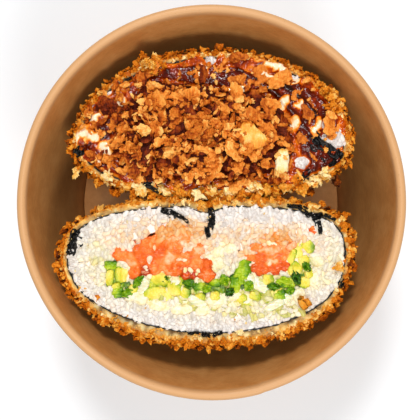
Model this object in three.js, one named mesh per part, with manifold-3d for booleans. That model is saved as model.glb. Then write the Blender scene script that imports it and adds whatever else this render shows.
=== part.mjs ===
// A deep-fried sushi burger, cut in half and served in a round kraft paper bowl.
// Both halves stand on their round edge with the cut face up. The front half shows its layers: breadcrumb
// crust, nori, rice and the filling. The back half is dressed with sauce and a heap of fried onions.
// Millimetres, +Z up. The origin is on the table, under the middle of the bowl. The front half is at -Y.

import * as THREE from "three";
import { mergeVertices } from "three/addons/utils/BufferGeometryUtils.js";
import Module from "manifold-3d";

const wasm = await Module();
wasm.setup();

// ---------- Driving dimensions ----------

const GAP = 0.3; // clearance between pieces that touch

const BOWL = {
  rimRadius: 75, // outside of the rolled lip
  height: 75,
  lipRadius: 1.8, // the rolled lip, in section
  innerFloorRadius: 61.5, // inside of the wall at the floor
  wallThickness: 0.9,
  floorHeight: 6, // top of the raised floor
  floorThickness: 0.7,
  flangeDepth: 1.6, // the floor's edge is turned down inside the wall
  hemHeight: 3.4, // the wall's lower edge is folded inwards as a foot
  hemWidth: 2.2,
  facets: 56,
  oval: 0.0095, // at the lip the bowl is this share longer front to back, and as much narrower
};

const NORI_THICKNESS = 0.5;
const CRUMB_RELIEF = 1.1; // how far breadcrumbs stand out of the curved crust
const FLAT_CRUMB_RELIEF = 0.4; // and out of its flat side
const CRUMB_SPACING = 6;

// Each half is half of a disc whose axis runs along Y, halfway up the cut. In section, "level" is the y where
// the disc is widest, "flat" and "dome" are the y of its two ends on the axis, and the powers say how square
// each shoulder is. The disc isn't quite round: its right and left have their own section.
const FRONT = {
  axisX: -2,
  rice: {
    flat: -1.3,
    dome: -52.6,
    right: { radius: 54.3, level: -18.5, flatPower: 3.2, domePower: 2.35 },
    left: { radius: 54.3, level: -22, flatPower: 2.7, domePower: 1.95 },
  },
  crust: {
    flat: 1.1,
    dome: -56.9,
    right: { radius: 58.6, level: -18.5, flatPower: 3.1, domePower: 2.3 },
    left: { radius: 58.6, level: -22.5, flatPower: 2.6, domePower: 1.95 },
  },
  pinch: 3.6, // the middle of the flat side is pinched in by this much
};
const BACK = {
  axisX: 0.4,
  rice: {
    flat: 5.9,
    dome: 56.4,
    right: { radius: 52.2, level: 24, flatPower: 2.4, domePower: 2.05 },
    left: { radius: 52.2, level: 23, flatPower: 2.3, domePower: 1.95 },
  },
  crust: {
    flat: 3.2,
    dome: 60.4,
    right: { radius: 56.2, level: 24, flatPower: 2.35, domePower: 2.05 },
    left: { radius: 56.2, level: 23, flatPower: 2.25, domePower: 1.95 },
  },
  pinch: 0,
};
// Each half stands on the floor, so its cut face is as high as its disc's radius allows.
for (const half of [FRONT, BACK]) {
  half.cutHeight = BOWL.floorHeight + GAP + half.crust.right.radius + CRUMB_RELIEF;
}

const LAYER_GRID = { along: 18, around: 24 }; // facets of a layer from pole to pole, and round the full disc
const CRUST_GRID = { along: 28, around: 38 };

// Where the nori folds into the rice: corners x, y of each fold on the cut face.
const FOLD_DEPTH = 14;
const FRONT_FOLDS = [
  [[-2, -2], [2, -2], [2.2, -6.4], [1.2, -10.6], [-1, -15.4], [-2, -14.8], [-0.4, -10], [-1.2, -6.4]],
  [[-22.6, 2], [-19.6, 2], [-19.2, -3.6], [-14, -5], [-10.2, -6.4], [-10.8, -7.4], [-15, -6.4], [-20.4, -5.4]],
  [[30.6, 2], [38.6, 2], [40.6, -3.2], [42.8, -6.8], [41.6, -11.4], [40.4, -11.2], [40, -6.8], [33.6, -3.6]],
  [[-60, -10.8], [-52.6, -9.6], [-50.2, -13.2], [-50.4, -17], [-53.6, -18.8], [-60, -19.4]],
];
const BACK_FOLDS = [
  [[38.4, 22.4], [45, 25.6], [60, 26], [60, 14], [51, 13.2], [46, 17.6], [41.4, 18.6]],
  [[-60, 22], [-50.6, 21.6], [-49.4, 17.4], [-60, 16.4]],
];

// The filling on the front cut face, largest first: closed outlines through points x, y.
const SALMON_DEPTH = 26;
const CREAM_DEPTH = 18;
const FRONT_LAYERS = [
  {
    name: "front_salmon_left",
    look: "salmon",
    depth: SALMON_DEPTH,
    outline: [
      [-36.5, -19.5], [-34, -25.6], [-30.5, -28.2], [-22.6, -26.4], [-14, -26.8], [-8.4, -29.6],
      [0.6, -28.2], [0, -23.8], [-4.6, -20.6], [-5.4, -14.4], [-9.6, -11.6], [-16.5, -11.4], [-26, -13.6],
    ],
  },
  {
    name: "front_salmon_right",
    look: "salmon",
    depth: SALMON_DEPTH,
    outline: [[17.6, -25.2], [24.4, -27], [28.6, -24], [30.4, -18.6], [24.3, -15], [17.6, -15.6], [13.6, -20]],
  },
  {
    name: "front_cream_upper",
    look: "cream",
    depth: CREAM_DEPTH,
    outline: [[-2.6, -16.4], [2, -15.2], [8, -16.2], [11, -18.6], [7.4, -22.6], [3.4, -24.4], [1.4, -21.4]],
  },
  {
    name: "front_cream_lower",
    look: "cream",
    depth: CREAM_DEPTH,
    outline: [
      [-28.6, -40.4], [-19.6, -42], [-7.5, -41.2], [4, -41.6], [14, -40], [20.6, -37.4],
      [14.6, -36.2], [4, -37.4], [-6.6, -37.6], [-17, -39.4], [-27.4, -36.8],
    ],
  },
];

// Smaller pieces of the filling: middle x, y, size across, and how far each is turned.
const CHUNK_DEPTH = 7;
const AVOCADO = [
  { at: [-23.2, -36.2], size: [6.6, 6.2], turn: 0.4 },
  { at: [-19.9, -30.1], size: [7.4, 4.8], turn: -0.2 },
  { at: [-14.2, -33.8], size: [6.2, 5.6], turn: 0.7 },
  { at: [-35.2, -28.6], size: [5.2, 6], turn: 0.5 },
  { at: [-39.6, -29.8], size: [3.2, 5.4], turn: 0.1 },
  { at: [32.8, -26.2], size: [6, 5.8], turn: -0.5 },
  { at: [36.6, -31.8], size: [4.8, 4.6], turn: 0.3 },
  { at: [22.2, -30.2], size: [5.2, 4.2], turn: 0.2 },
];
const GREENS = [
  { name: "front_spring_onion", at: [13, -26.4], size: [5, 9.4], turn: -0.7 },
  { name: "front_leaf_middle", at: [9.4, -32.2], size: [4.2, 8.6], turn: 0.3 },
  { name: "front_leaf_right", at: [29.6, -31.8], size: [7.6, 3.6], turn: 0.25 },
  { name: "front_leaf_left", at: [-36.6, -35.4], size: [4.6, 5], turn: 0.6 },
  { name: "front_green_left", at: [-39.5, -24.6], size: [5.4, 3], turn: 0.2 },
  { name: "front_bean_left", at: [-4.8, -33], size: [4.7, 4.3], turn: 0 },
  { name: "front_bean_right", at: [1.6, -31.6], size: [4.2, 3.2], turn: 0.1 },
  { name: "front_green_lower", at: [27.2, -36.4], size: [4.2, 4.6], turn: -0.2 },
];

const GRAIN = { length: 6.4, width: 2.4, rise: 0.5 }; // a cooked grain, and how much of it stands clear
const FRONT_GRAINS = 34;
const BACK_GRAINS = 14;

// The dressing on the back cut face: sauce pools, strokes of mayonnaise, and the heap of fried onions.
const SAUCE_HEIGHT = 1.5;
const SAUCE_POOLS = [
  [[38, 10], [46, 14], [50, 22], [48.6, 34], [42, 42], [34, 47], [26, 49], [22, 44], [30, 36], [35, 24]],
  [[-46, 11], [-36, 9], [-30, 14], [-33, 22], [-40, 31], [-48, 28], [-49.6, 18]],
  [[-22, 51], [-8, 53.6], [10, 53], [22, 47], [16, 43], [0, 45], [-16, 45]],
];
const MAYO_RADIUS = 1.3;
const MAYO_STROKES = [
  [[10, 52.4], [24, 44], [36, 30], [44, 19]],
  [[20, 51], [33, 43], [43, 32], [48.4, 21]],
  [[-49, 22], [-43, 29], [-36, 36]],
];
const HEAP = {
  outline: [
    [-38, 16], [-24, 9.6], [-8, 8.2], [10, 8.6], [26, 11.4], [33.4, 19], [32, 32], [24, 42],
    [8, 45.4], [-8, 46.6], [-22, 49], [-32, 42], [-38.6, 30],
  ],
  height: 6.6,
  lumps: 1.5,
  lumpSpacing: 8,
  flakes: 34,
};
const BIG_FLAKES = [
  { name: "back_pale_flake", at: [16, 29.6], size: [9.4, 12, 1.4], turn: -0.35, lift: 5.6 },
  { name: "back_white_chip", at: [27.8, 18.6], size: [5, 8, 1.3], turn: 0.2, lift: 3.2 },
];

const LOOKS = {
  paper: { color: "#c08a58", roughness: 0.75 },
  crust: { color: "#c77722", roughness: 0.8 },
  nori: { color: "#14100a", roughness: 0.35 },
  rice: { color: "#f4edd9", roughness: 0.5 },
  salmon: { color: "#f28c45", roughness: 0.35 },
  cream: { color: "#f9ecc9", roughness: 0.4 },
  avocado: { color: "#dfcf66", roughness: 0.45 },
  green: { color: "#8fae2c", roughness: 0.4 },
  onion: { color: "#cf6f25", roughness: 0.7 },
  paleOnion: { color: "#e8b765", roughness: 0.6 },
  whiteOnion: { color: "#f0dcc0", roughness: 0.5 },
};

// ---------- Small tools ----------

// The same random numbers each time, from a seed.
function seededRandom(seed) {
  let state = seed;
  return (low = 0, high = 1) => {
    state = (Math.imul(state, 1664525) + 1013904223) >>> 0;
    return low + ((high - low) * state) / 4294967296;
  };
}

// Uneven relief from about -1 to 1, that repeats only over long distances.
function unevenness(x, y, z) {
  const coarse = Math.sin(x * 1.1 + 2 * Math.sin(y * 0.7)) * Math.sin(y * 1.3 + 2 * Math.sin(z * 0.9));
  const fine = Math.sin(x * 2.3 + z * 1.9) * Math.sin(y * 2.1 - x * 1.7) * Math.sin(z * 2.6 + y);
  return 0.5 * coarse + 0.5 * fine;
}

// A closed surface as a solid that can be joined and cut.
function solidOf(geometry) {
  const bare = geometry.clone();
  bare.deleteAttribute("normal");
  bare.deleteAttribute("uv");
  const merged = mergeVertices(bare, 1e-4);
  return new wasm.Manifold(
    new wasm.Mesh({
      numProp: 3,
      vertProperties: new Float32Array(merged.attributes.position.array),
      triVerts: new Uint32Array(merged.index.array),
    }),
  );
}

// The largest body of a solid, as a geometry: scraps that a cut leaves loose are dropped.
function geometryOf(solid) {
  const body = solid.decompose().reduce((a, b) => (a.volume() > b.volume() ? a : b));
  const mesh = body.getMesh();
  const geometry = new THREE.BufferGeometry();
  geometry.setAttribute("position", new THREE.BufferAttribute(mesh.vertProperties, 3));
  geometry.setIndex(new THREE.BufferAttribute(mesh.triVerts, 1));
  return geometry;
}

const join = (solids) => solids.reduce((whole, piece) => whole.add(piece));
const cut = (solid, tools) => tools.reduce((rest, tool) => rest.subtract(tool), solid);

function box([x0, y0, z0], [x1, y1, z1]) {
  const geometry = new THREE.BoxGeometry(x1 - x0, y1 - y0, z1 - z0);
  return solidOf(geometry.translate((x0 + x1) / 2, (y0 + y1) / 2, (z0 + z1) / 2));
}

// Everything above or below a height, over the bowl's width.
const above = (z) => box([-100, -100, z], [100, 100, z + 100]);
const below = (z) => box([-100, -100, z - 200], [100, 100, z]);

// A closed outline in the XY plane, pushed outwards by offset. Its points are x, y, in either direction.
function outlinePoints(points, offset, curved) {
  const corners = points.map(([x, y]) => new THREE.Vector2(x, y));
  if (!THREE.ShapeUtils.isClockWise(corners)) corners.reverse();
  const count = curved ? corners.length * 2 : corners.length;
  const loop = new THREE.CatmullRomCurve3(corners.map((p) => new THREE.Vector3(p.x, p.y, 0)), true);
  const ring = curved
    ? Array.from({ length: count }, (_, k) => loop.getPoint(k / count)).map((p) => new THREE.Vector2(p.x, p.y))
    : corners;
  return ring.map((point, k) => {
    const before = ring[(k + count - 1) % count];
    const after = ring[(k + 1) % count];
    const outwards = new THREE.Vector2(before.y - after.y, after.x - before.x).normalize();
    return point.clone().addScaledVector(outwards, offset);
  });
}

// An upright prism over an outline, from one height to another.
function prism(points, bottom, top, { offset = 0, curved = true } = {}) {
  const shape = new THREE.Shape(outlinePoints(points, offset, curved));
  const geometry = new THREE.ExtrudeGeometry(shape, { depth: top - bottom, bevelEnabled: false });
  return solidOf(geometry.translate(0, 0, bottom));
}

// The outline of a small rounded piece with uneven sides.
function chunkOutline({ at, size, turn }) {
  const corners = 5;
  return Array.from({ length: corners }, (_, k) => {
    const angle = (2 * Math.PI * k) / corners;
    const uneven = 1 + 0.1 * Math.sin(3 * angle + at[0]);
    const local = new THREE.Vector2(Math.cos(angle) * size[0], Math.sin(angle) * size[1]);
    local.multiplyScalar(uneven / 2).rotateAround(new THREE.Vector2(), turn);
    return [at[0] + local.x, at[1] + local.y];
  });
}

// A rounded grain, lying at a point and turned about the upright axis.
function bead({ at, size, turn }) {
  const geometry = new THREE.SphereGeometry(0.5, 5, 4);
  geometry.scale(size[2], size[0], size[1]).rotateZ(Math.PI / 2);
  return solidOf(geometry.rotateZ(turn).translate(...at));
}

// ---------- The form of a half ----------

// One side of a layer's section, as points (radius, y) from its lower y to its higher y, pushed out by offset.
function section(layer, side, offset, pinch, steps) {
  const samples = 200;
  const dense = Array.from({ length: samples + 1 }, (_, k) => {
    const turn = (Math.PI * k) / samples;
    const flatHalf = k * 2 < samples;
    const power = flatHalf ? side.flatPower : side.domePower;
    const pole = flatHalf ? layer.flat : layer.dome;
    const out = Math.sin(turn) ** (2 / power);
    const along = Math.abs(Math.cos(turn)) ** (2 / power);
    return new THREE.Vector2(side.radius * out, side.level + (pole - side.level) * along);
  });
  if (layer.flat > layer.dome) dense.reverse();
  const curve = new THREE.SplineCurve(dense);
  const flatEnd = layer.flat > layer.dome ? steps : 0;
  return Array.from({ length: steps + 1 }, (_, k) => {
    const point = curve.getPointAt(k / steps);
    const ahead = curve.getTangentAt(k / steps);
    if (k === 0 || k === steps) {
      const dent = k === flatEnd ? pinch * Math.sign(layer.dome - layer.flat) : 0;
      return new THREE.Vector2(0, point.y + dent + (k === 0 ? -offset : offset));
    }
    return new THREE.Vector2(point.x + ahead.y * offset, point.y - ahead.x * offset);
  });
}

// The full disc of a layer. crumbs gives the relief of its curved sides and of its flat side.
function disc(half, layer, { offset = 0, grid = LAYER_GRID, crumbs } = {}) {
  const [right, left] = [layer.right, layer.left].map((side) => {
    return new THREE.LatheGeometry(section(layer, side, offset, half.pinch, grid.along), grid.around);
  });
  const position = right.getAttribute("position");
  const normals = right.getAttribute("normal");
  const point = new THREE.Vector3();
  const other = new THREE.Vector3();
  const outwards = new THREE.Vector3();
  const flatDirection = Math.sign(layer.flat - layer.dome);
  for (let k = 0; k < position.count; k++) {
    point.fromBufferAttribute(position, k);
    other.fromBufferAttribute(left.getAttribute("position"), k);
    const radius = Math.hypot(point.x, point.z);
    if (radius < 1e-6) continue;
    point.lerp(other, (1 - point.x / radius) / 2);
    if (crumbs) {
      outwards.fromBufferAttribute(normals, k);
      const relief = outwards.y * flatDirection > 0.75 ? crumbs.flat : crumbs.curved;
      const place = point.clone().divideScalar(CRUMB_SPACING / 2);
      point.addScaledVector(outwards, relief * unevenness(place.x, place.y, place.z));
    }
    position.setXYZ(k, point.x, point.y, point.z);
  }
  return solidOf(right.translate(half.axisX, 0, half.cutHeight));
}

// ---------- Bowl ----------

function innerRadiusAt(z) {
  const slope =
    (BOWL.rimRadius - 2 * BOWL.lipRadius - BOWL.innerFloorRadius) / (BOWL.height - BOWL.lipRadius - BOWL.floorHeight);
  return BOWL.innerFloorRadius + (z - BOWL.floorHeight) * slope;
}

// A lathe about the upright axis, made slightly oval towards the lip.
function turned(profile) {
  const geometry = new THREE.LatheGeometry(profile, BOWL.facets).rotateX(Math.PI / 2);
  const position = geometry.getAttribute("position");
  for (let k = 0; k < position.count; k++) {
    const oval = (BOWL.oval * position.getZ(k)) / BOWL.height;
    position.setX(k, position.getX(k) * (1 - oval));
    position.setY(k, position.getY(k) * (1 + oval));
  }
  return solidOf(geometry);
}

function bowlWall() {
  const hemInner = innerRadiusAt(0) + BOWL.wallThickness - BOWL.hemWidth;
  const lip = new THREE.Vector2(BOWL.rimRadius - BOWL.lipRadius, BOWL.height - BOWL.lipRadius);
  const lipSteps = 8;
  const lipStart = -0.65 * Math.PI;
  const profile = [new THREE.Vector2(hemInner, 0), new THREE.Vector2(innerRadiusAt(0) + BOWL.wallThickness, 0)];
  for (let k = 0; k <= lipSteps; k++) {
    const angle = lipStart + ((Math.PI - lipStart) * k) / lipSteps;
    const across = new THREE.Vector2(Math.cos(angle), Math.sin(angle)).multiplyScalar(BOWL.lipRadius);
    profile.push(lip.clone().add(across));
  }
  profile.push(new THREE.Vector2(innerRadiusAt(BOWL.hemHeight), BOWL.hemHeight));
  profile.push(new THREE.Vector2(hemInner, BOWL.hemHeight));
  profile.push(profile[0].clone());
  return turned(profile);
}

function bowlFloor() {
  const bottom = BOWL.floorHeight - BOWL.floorThickness;
  const flangeBottom = bottom - BOWL.flangeDepth;
  const edge = (z) => innerRadiusAt(z) - GAP;
  return turned([
    new THREE.Vector2(0, bottom),
    new THREE.Vector2(edge(flangeBottom) - BOWL.floorThickness, bottom),
    new THREE.Vector2(edge(flangeBottom) - BOWL.floorThickness, flangeBottom),
    new THREE.Vector2(edge(flangeBottom), flangeBottom),
    new THREE.Vector2(edge(BOWL.floorHeight), BOWL.floorHeight),
    new THREE.Vector2(0, BOWL.floorHeight),
  ]);
}

// ---------- Layers of a half ----------

function crust(half) {
  const crumbs = { curved: CRUMB_RELIEF, flat: FLAT_CRUMB_RELIEF };
  const outside = disc(half, half.crust, { grid: CRUST_GRID, crumbs });
  const inside = disc(half, half.rice, { offset: NORI_THICKNESS + 2 * GAP });
  return cut(outside, [inside, above(half.cutHeight)]);
}

// The prisms of the folds, made larger by offset.
function foldPrisms(half, folds, offset) {
  const bottom = half.cutHeight - FOLD_DEPTH - offset;
  return folds.map((points) => prism(points, bottom, half.cutHeight + 1, { offset, curved: false }));
}

function nori(half, folds) {
  const outside = disc(half, half.rice, { offset: NORI_THICKNESS + GAP });
  const inside = disc(half, half.rice, { offset: GAP });
  const shell = outside.subtract(inside);
  const folded = join(foldPrisms(half, folds, 0)).intersect(outside);
  return cut(shell.add(folded), [above(half.cutHeight)]);
}

// Grains that lie in the cut face of the rice, clear of the outlines given and inside the rice's edge.
function grains(half, { count, seed, keepOff, edge }) {
  const random = seededRandom(seed);
  const taken = keepOff.map((points) => outlinePoints(points, GAP + GRAIN.width / 2, true));
  const rim = Math.abs(half.rice.dome - half.rice.flat) / 2;
  const middleY = (half.rice.dome + half.rice.flat) / 2;
  const placed = [];
  for (let tries = 0; tries < count * 40 && placed.length < count; tries++) {
    const angle = random(0, 2 * Math.PI);
    const reach = Math.sqrt(random(0, 1)) * (1 - edge);
    const x = half.axisX + Math.cos(angle) * reach * half.rice.right.radius;
    const y = middleY + Math.sin(angle) * reach * rim;
    const turn = random(0, Math.PI);
    const ends = [-1, 0, 1].map((end) => {
      return [x + (end * Math.cos(turn) * GRAIN.length) / 2, y + (end * Math.sin(turn) * GRAIN.length) / 2];
    });
    const size = [GRAIN.length * random(0.8, 1.1), GRAIN.width, GRAIN.width];
    const crowded = placed.some((grain) => Math.hypot(grain.at[0] - x, grain.at[1] - y) < GRAIN.width * 1.5);
    if (crowded || ends.some((end) => taken.some((ring) => isInside(end, ring)))) continue;
    placed.push({ at: [x, y, half.cutHeight + GRAIN.rise - GRAIN.width / 2], size, turn });
  }
  return placed.map((grain) => bead(grain).intersect(spaceOverRice(half, -0.2)));
}

// The rice's own space and the air above its cut face, pushed out by offset.
function spaceOverRice(half, offset) {
  const inside = disc(half, half.rice, { offset });
  return inside.add(inside.translate(0, 0, 2 * SAUCE_HEIGHT));
}

function isInside([x, y], ring) {
  let inside = false;
  ring.forEach((a, k) => {
    const b = ring[(k + 1) % ring.length];
    if (a.y > y !== b.y > y && x < a.x + ((b.x - a.x) * (y - a.y)) / (b.y - a.y)) inside = !inside;
  });
  return inside;
}

// ---------- Front half ----------

const FRONT_FILLING = [
  ...FRONT_LAYERS,
  ...GREENS.map((piece) => ({ ...piece, look: "green", depth: CHUNK_DEPTH, outline: chunkOutline(piece) })),
  ...AVOCADO.map((piece, k) => ({
    name: `front_avocado_${k + 1}`,
    look: "avocado",
    depth: CHUNK_DEPTH,
    outline: chunkOutline(piece),
  })),
];

function fillingPrism({ outline, depth }, offset) {
  return prism(outline, FRONT.cutHeight - depth - offset, FRONT.cutHeight + (offset > 0 ? GRAIN.rise * 2 : 0), {
    offset,
  });
}

// Each piece gives way to the pieces before it and to the folds of the nori.
function frontFilling() {
  const before = foldPrisms(FRONT, FRONT_FOLDS, GAP);
  return FRONT_FILLING.map((piece) => {
    const solid = cut(fillingPrism(piece, 0), before);
    before.push(fillingPrism(piece, GAP));
    return { ...piece, solid };
  });
}

function frontRice() {
  const keepOff = [...FRONT_FOLDS, ...FRONT_FILLING.map((piece) => piece.outline)];
  const body = disc(FRONT, FRONT.rice).subtract(above(FRONT.cutHeight));
  const withGrains = join([body, ...grains(FRONT, { count: FRONT_GRAINS, seed: 5, keepOff, edge: 0.12 })]);
  const pockets = FRONT_FILLING.map((piece) => fillingPrism(piece, GAP));
  return cut(withGrains, [...foldPrisms(FRONT, FRONT_FOLDS, GAP), ...pockets]);
}

// ---------- Back half ----------

// A stroke of mayonnaise: a half-sunk bead along a curve, with round ends.
function mayoStroke(points) {
  const z = BACK.cutHeight + SAUCE_HEIGHT;
  const curve = new THREE.CatmullRomCurve3(points.map(([x, y]) => new THREE.Vector3(x, y, z)));
  const sides = 6;
  const round = new THREE.Shape(
    Array.from({ length: sides }, (_, k) => {
      const angle = (2 * Math.PI * k) / sides;
      return new THREE.Vector2(Math.cos(angle), Math.sin(angle)).multiplyScalar(MAYO_RADIUS);
    }),
  );
  return solidOf(new THREE.ExtrudeGeometry(round, { extrudePath: curve, steps: 10, bevelEnabled: false }));
}

// Rice with the sauce and mayonnaise that lie on it, kept inside its edge and clear of the heap.
function backRice() {
  const { cutHeight } = BACK;
  const sauce = SAUCE_POOLS.map((points) => prism(points, cutHeight - 1, cutHeight + SAUCE_HEIGHT));
  const dressing = join([...sauce, ...MAYO_STROKES.map(mayoStroke)]);
  const body = disc(BACK, BACK.rice).subtract(above(cutHeight));
  const keepOff = [...BACK_FOLDS, ...SAUCE_POOLS, HEAP.outline];
  const loose = grains(BACK, { count: BACK_GRAINS, seed: 11, keepOff, edge: 0.1 });
  const heapSpace = prism(HEAP.outline, cutHeight, cutHeight + 20, { offset: GAP });
  const dressed = dressing.intersect(spaceOverRice(BACK, -1)).subtract(heapSpace);
  return cut(join([body, ...loose, dressed]), foldPrisms(BACK, BACK_FOLDS, GAP));
}

// How high the bare heap stands at a point: full in the middle, falling to nothing at its outline.
function heapHeight(x, y) {
  const ring = outlinePoints(HEAP.outline, 0, true);
  if (!isInside([x, y], ring)) return 0;
  const edge = Math.min(...ring.map((point) => Math.hypot(point.x - x, point.y - y)));
  const lumps = HEAP.lumps * unevenness(x / (HEAP.lumpSpacing / 2), y / (HEAP.lumpSpacing / 2), 0);
  return HEAP.height * Math.sqrt(Math.min(1, edge / 14)) + lumps;
}

// The core of the heap: a low dome on the cut face with a lumpy top.
function heapCore() {
  const ring = outlinePoints(HEAP.outline, 0, true).reverse();
  const middle = ring.reduce((sum, point) => sum.add(point), new THREE.Vector2()).divideScalar(ring.length);
  const geometry = new THREE.SphereGeometry(1, ring.length, 8);
  geometry.rotateX(Math.PI / 2);
  const position = geometry.getAttribute("position");
  const columns = ring.length + 1;
  for (let k = 0; k < position.count; k++) {
    const out = Math.hypot(position.getX(k), position.getY(k));
    const rim = ring[(k % columns) % ring.length];
    const x = middle.x + (rim.x - middle.x) * out;
    const y = middle.y + (rim.y - middle.y) * out;
    const up = position.getZ(k) > 0.01 ? HEAP.height * position.getZ(k) : position.getZ(k);
    const lump = position.getZ(k) > 0.1 ? HEAP.lumps * unevenness(x / 4, y / 4, 0) : 0;
    position.setXYZ(k, x, y, BACK.cutHeight + GAP + up + lump);
  }
  return solidOf(geometry).subtract(below(BACK.cutHeight + GAP));
}

// A curled flake of fried onion: a thin slab with uneven corners, sunk part way into the heap.
function flake(random) {
  let x = 0;
  let y = 0;
  let height = 0;
  for (let tries = 0; tries < 50 && height < 1.5; tries++) {
    x = random(-38, 34);
    y = random(9, 48);
    height = heapHeight(x, y);
  }
  const geometry = new THREE.BoxGeometry(random(4, 9), random(2, 4), random(0.9, 1.5), 2, 1, 1);
  const position = geometry.getAttribute("position");
  const curl = random(0.3, 1.2);
  for (let k = 0; k < position.count; k++) {
    const middle = Math.abs(position.getX(k)) < 0.1;
    position.setZ(k, position.getZ(k) + (middle ? curl : 0));
  }
  geometry.rotateY(random(-0.6, 0.6)).rotateX(random(-0.6, 0.6)).rotateZ(random(0, Math.PI));
  return solidOf(geometry.translate(x, y, BACK.cutHeight + height));
}

function bigFlake({ at, size, turn, lift }, grown = 0) {
  const geometry = new THREE.BoxGeometry(size[0] + grown * 2, size[1] + grown * 2, size[2] + grown * 2);
  geometry.rotateX(0.12).rotateZ(turn);
  return solidOf(geometry.translate(...at, BACK.cutHeight + lift));
}

// The heap stays inside its outline as low as the sauce is thick, and only its flakes overhang above that.
function onionHeap() {
  const random = seededRandom(23);
  const flakes = Array.from({ length: HEAP.flakes }, () => flake(random));
  const sauceTop = BACK.cutHeight + SAUCE_HEIGHT + MAYO_RADIUS + GAP;
  const footprint = prism(HEAP.outline, BACK.cutHeight - 1, sauceTop + 1);
  const outsideFootprint = below(sauceTop).subtract(footprint);
  const heap = join([heapCore(), ...flakes]);
  const room = [outsideFootprint, below(BACK.cutHeight + GAP), ...BIG_FLAKES.map((piece) => bigFlake(piece, GAP))];
  return cut(heap, room);
}

// ---------- The whole ----------

function mesh(name, look, solid) {
  const node = new THREE.Mesh(geometryOf(solid), new THREE.MeshStandardMaterial({ ...LOOKS[look], metalness: 0 }));
  node.name = name;
  return node;
}

const bowl = new THREE.Group();
bowl.add(mesh("bowl_wall", "paper", bowlWall()));
bowl.add(mesh("bowl_floor", "paper", bowlFloor()));

const front = new THREE.Group();
front.add(mesh("front_crust", "crust", crust(FRONT)));
front.add(mesh("front_nori", "nori", nori(FRONT, FRONT_FOLDS)));
front.add(mesh("front_rice", "rice", frontRice()));
for (const piece of frontFilling()) front.add(mesh(piece.name, piece.look, piece.solid));

const back = new THREE.Group();
back.add(mesh("back_crust", "crust", crust(BACK)));
back.add(mesh("back_nori", "nori", nori(BACK, BACK_FOLDS)));
back.add(mesh("back_rice", "rice", backRice()));
back.add(mesh("back_onion_heap", "onion", onionHeap()));
back.add(mesh("back_pale_flake", "paleOnion", bigFlake(BIG_FLAKES[0])));
back.add(mesh("back_white_chip", "whiteOnion", bigFlake(BIG_FLAKES[1])));

const sushiBurger = new THREE.Group();
sushiBurger.add(bowl, front, back);

export default sushiBurger;
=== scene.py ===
"""A deep-fried sushi burger, cut in half, in a round kraft paper bowl.

The front half shows its cut face: breadcrumb crust, nori, rice and filling. The back half is dressed with soy
glaze, mayonnaise and a heap of fried onions. Metres, +Z up, the front half at -Y.
"""

import math
import random

import bmesh
import bpy
import numpy as np
from mathutils import Euler, Matrix, Vector, noise
from mathutils.bvhtree import BVHTree


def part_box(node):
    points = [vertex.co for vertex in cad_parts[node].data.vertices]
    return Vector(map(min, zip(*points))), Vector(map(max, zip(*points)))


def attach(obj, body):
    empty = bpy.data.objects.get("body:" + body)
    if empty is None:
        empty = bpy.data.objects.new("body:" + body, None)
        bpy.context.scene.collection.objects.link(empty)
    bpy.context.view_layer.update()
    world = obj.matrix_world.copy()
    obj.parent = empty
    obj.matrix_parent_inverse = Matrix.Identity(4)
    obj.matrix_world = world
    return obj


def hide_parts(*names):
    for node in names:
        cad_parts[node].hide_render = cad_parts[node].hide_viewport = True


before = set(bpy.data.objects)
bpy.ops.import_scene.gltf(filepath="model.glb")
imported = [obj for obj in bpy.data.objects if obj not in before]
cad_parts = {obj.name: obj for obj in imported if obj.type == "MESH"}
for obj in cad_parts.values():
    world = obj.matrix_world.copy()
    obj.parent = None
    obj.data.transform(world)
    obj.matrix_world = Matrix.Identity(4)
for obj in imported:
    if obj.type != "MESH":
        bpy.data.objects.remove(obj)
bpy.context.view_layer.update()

MM = 0.001

# ---------- What the frame gives ----------

BOWL_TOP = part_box("bowl_wall")[1][2]
FLOOR_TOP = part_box("bowl_floor")[1][2]
FRONT_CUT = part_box("front_crust")[1][2]
BACK_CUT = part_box("back_crust")[1][2]


# ---------- Materials ----------

# How far red, green and blue light go into rice and cream cheese, as shares of their subsurface scale.
WARM_DEPTHS = (1.0, 0.85, 0.7)


def colour(code):
    """A colour as Blender mixes it, from its usual hexadecimal name."""
    channels = [int(code[k:k + 2], 16) / 255 for k in (1, 3, 5)]
    return [c / 12.92 if c <= 0.04045 else ((c + 0.055) / 1.055) ** 2.4 for c in channels] + [1.0]


class Socket:
    """An output in a material, on which sums can be written."""

    def __init__(self, finish, output):
        self.finish = finish
        self.output = output

    def sum(self, operation, *values):
        return self.finish.node("ShaderNodeMath", {"operation": operation}, dict(enumerate(values)))

    def __add__(self, other):
        return self.sum("ADD", self, other)

    def __sub__(self, other):
        return self.sum("SUBTRACT", self, other)

    def __rsub__(self, other):
        return self.sum("SUBTRACT", other, self)

    def __mul__(self, other):
        return self.sum("MULTIPLY", self, other)

    __radd__ = __add__
    __rmul__ = __mul__

    def between(self, low, high):
        """0 at low, 1 at high, and held there beyond."""
        values = {"Value": self, "From Min": low, "From Max": high}
        return self.finish.node("ShaderNodeMapRange", {"interpolation_type": "SMOOTHSTEP"}, values)


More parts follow.
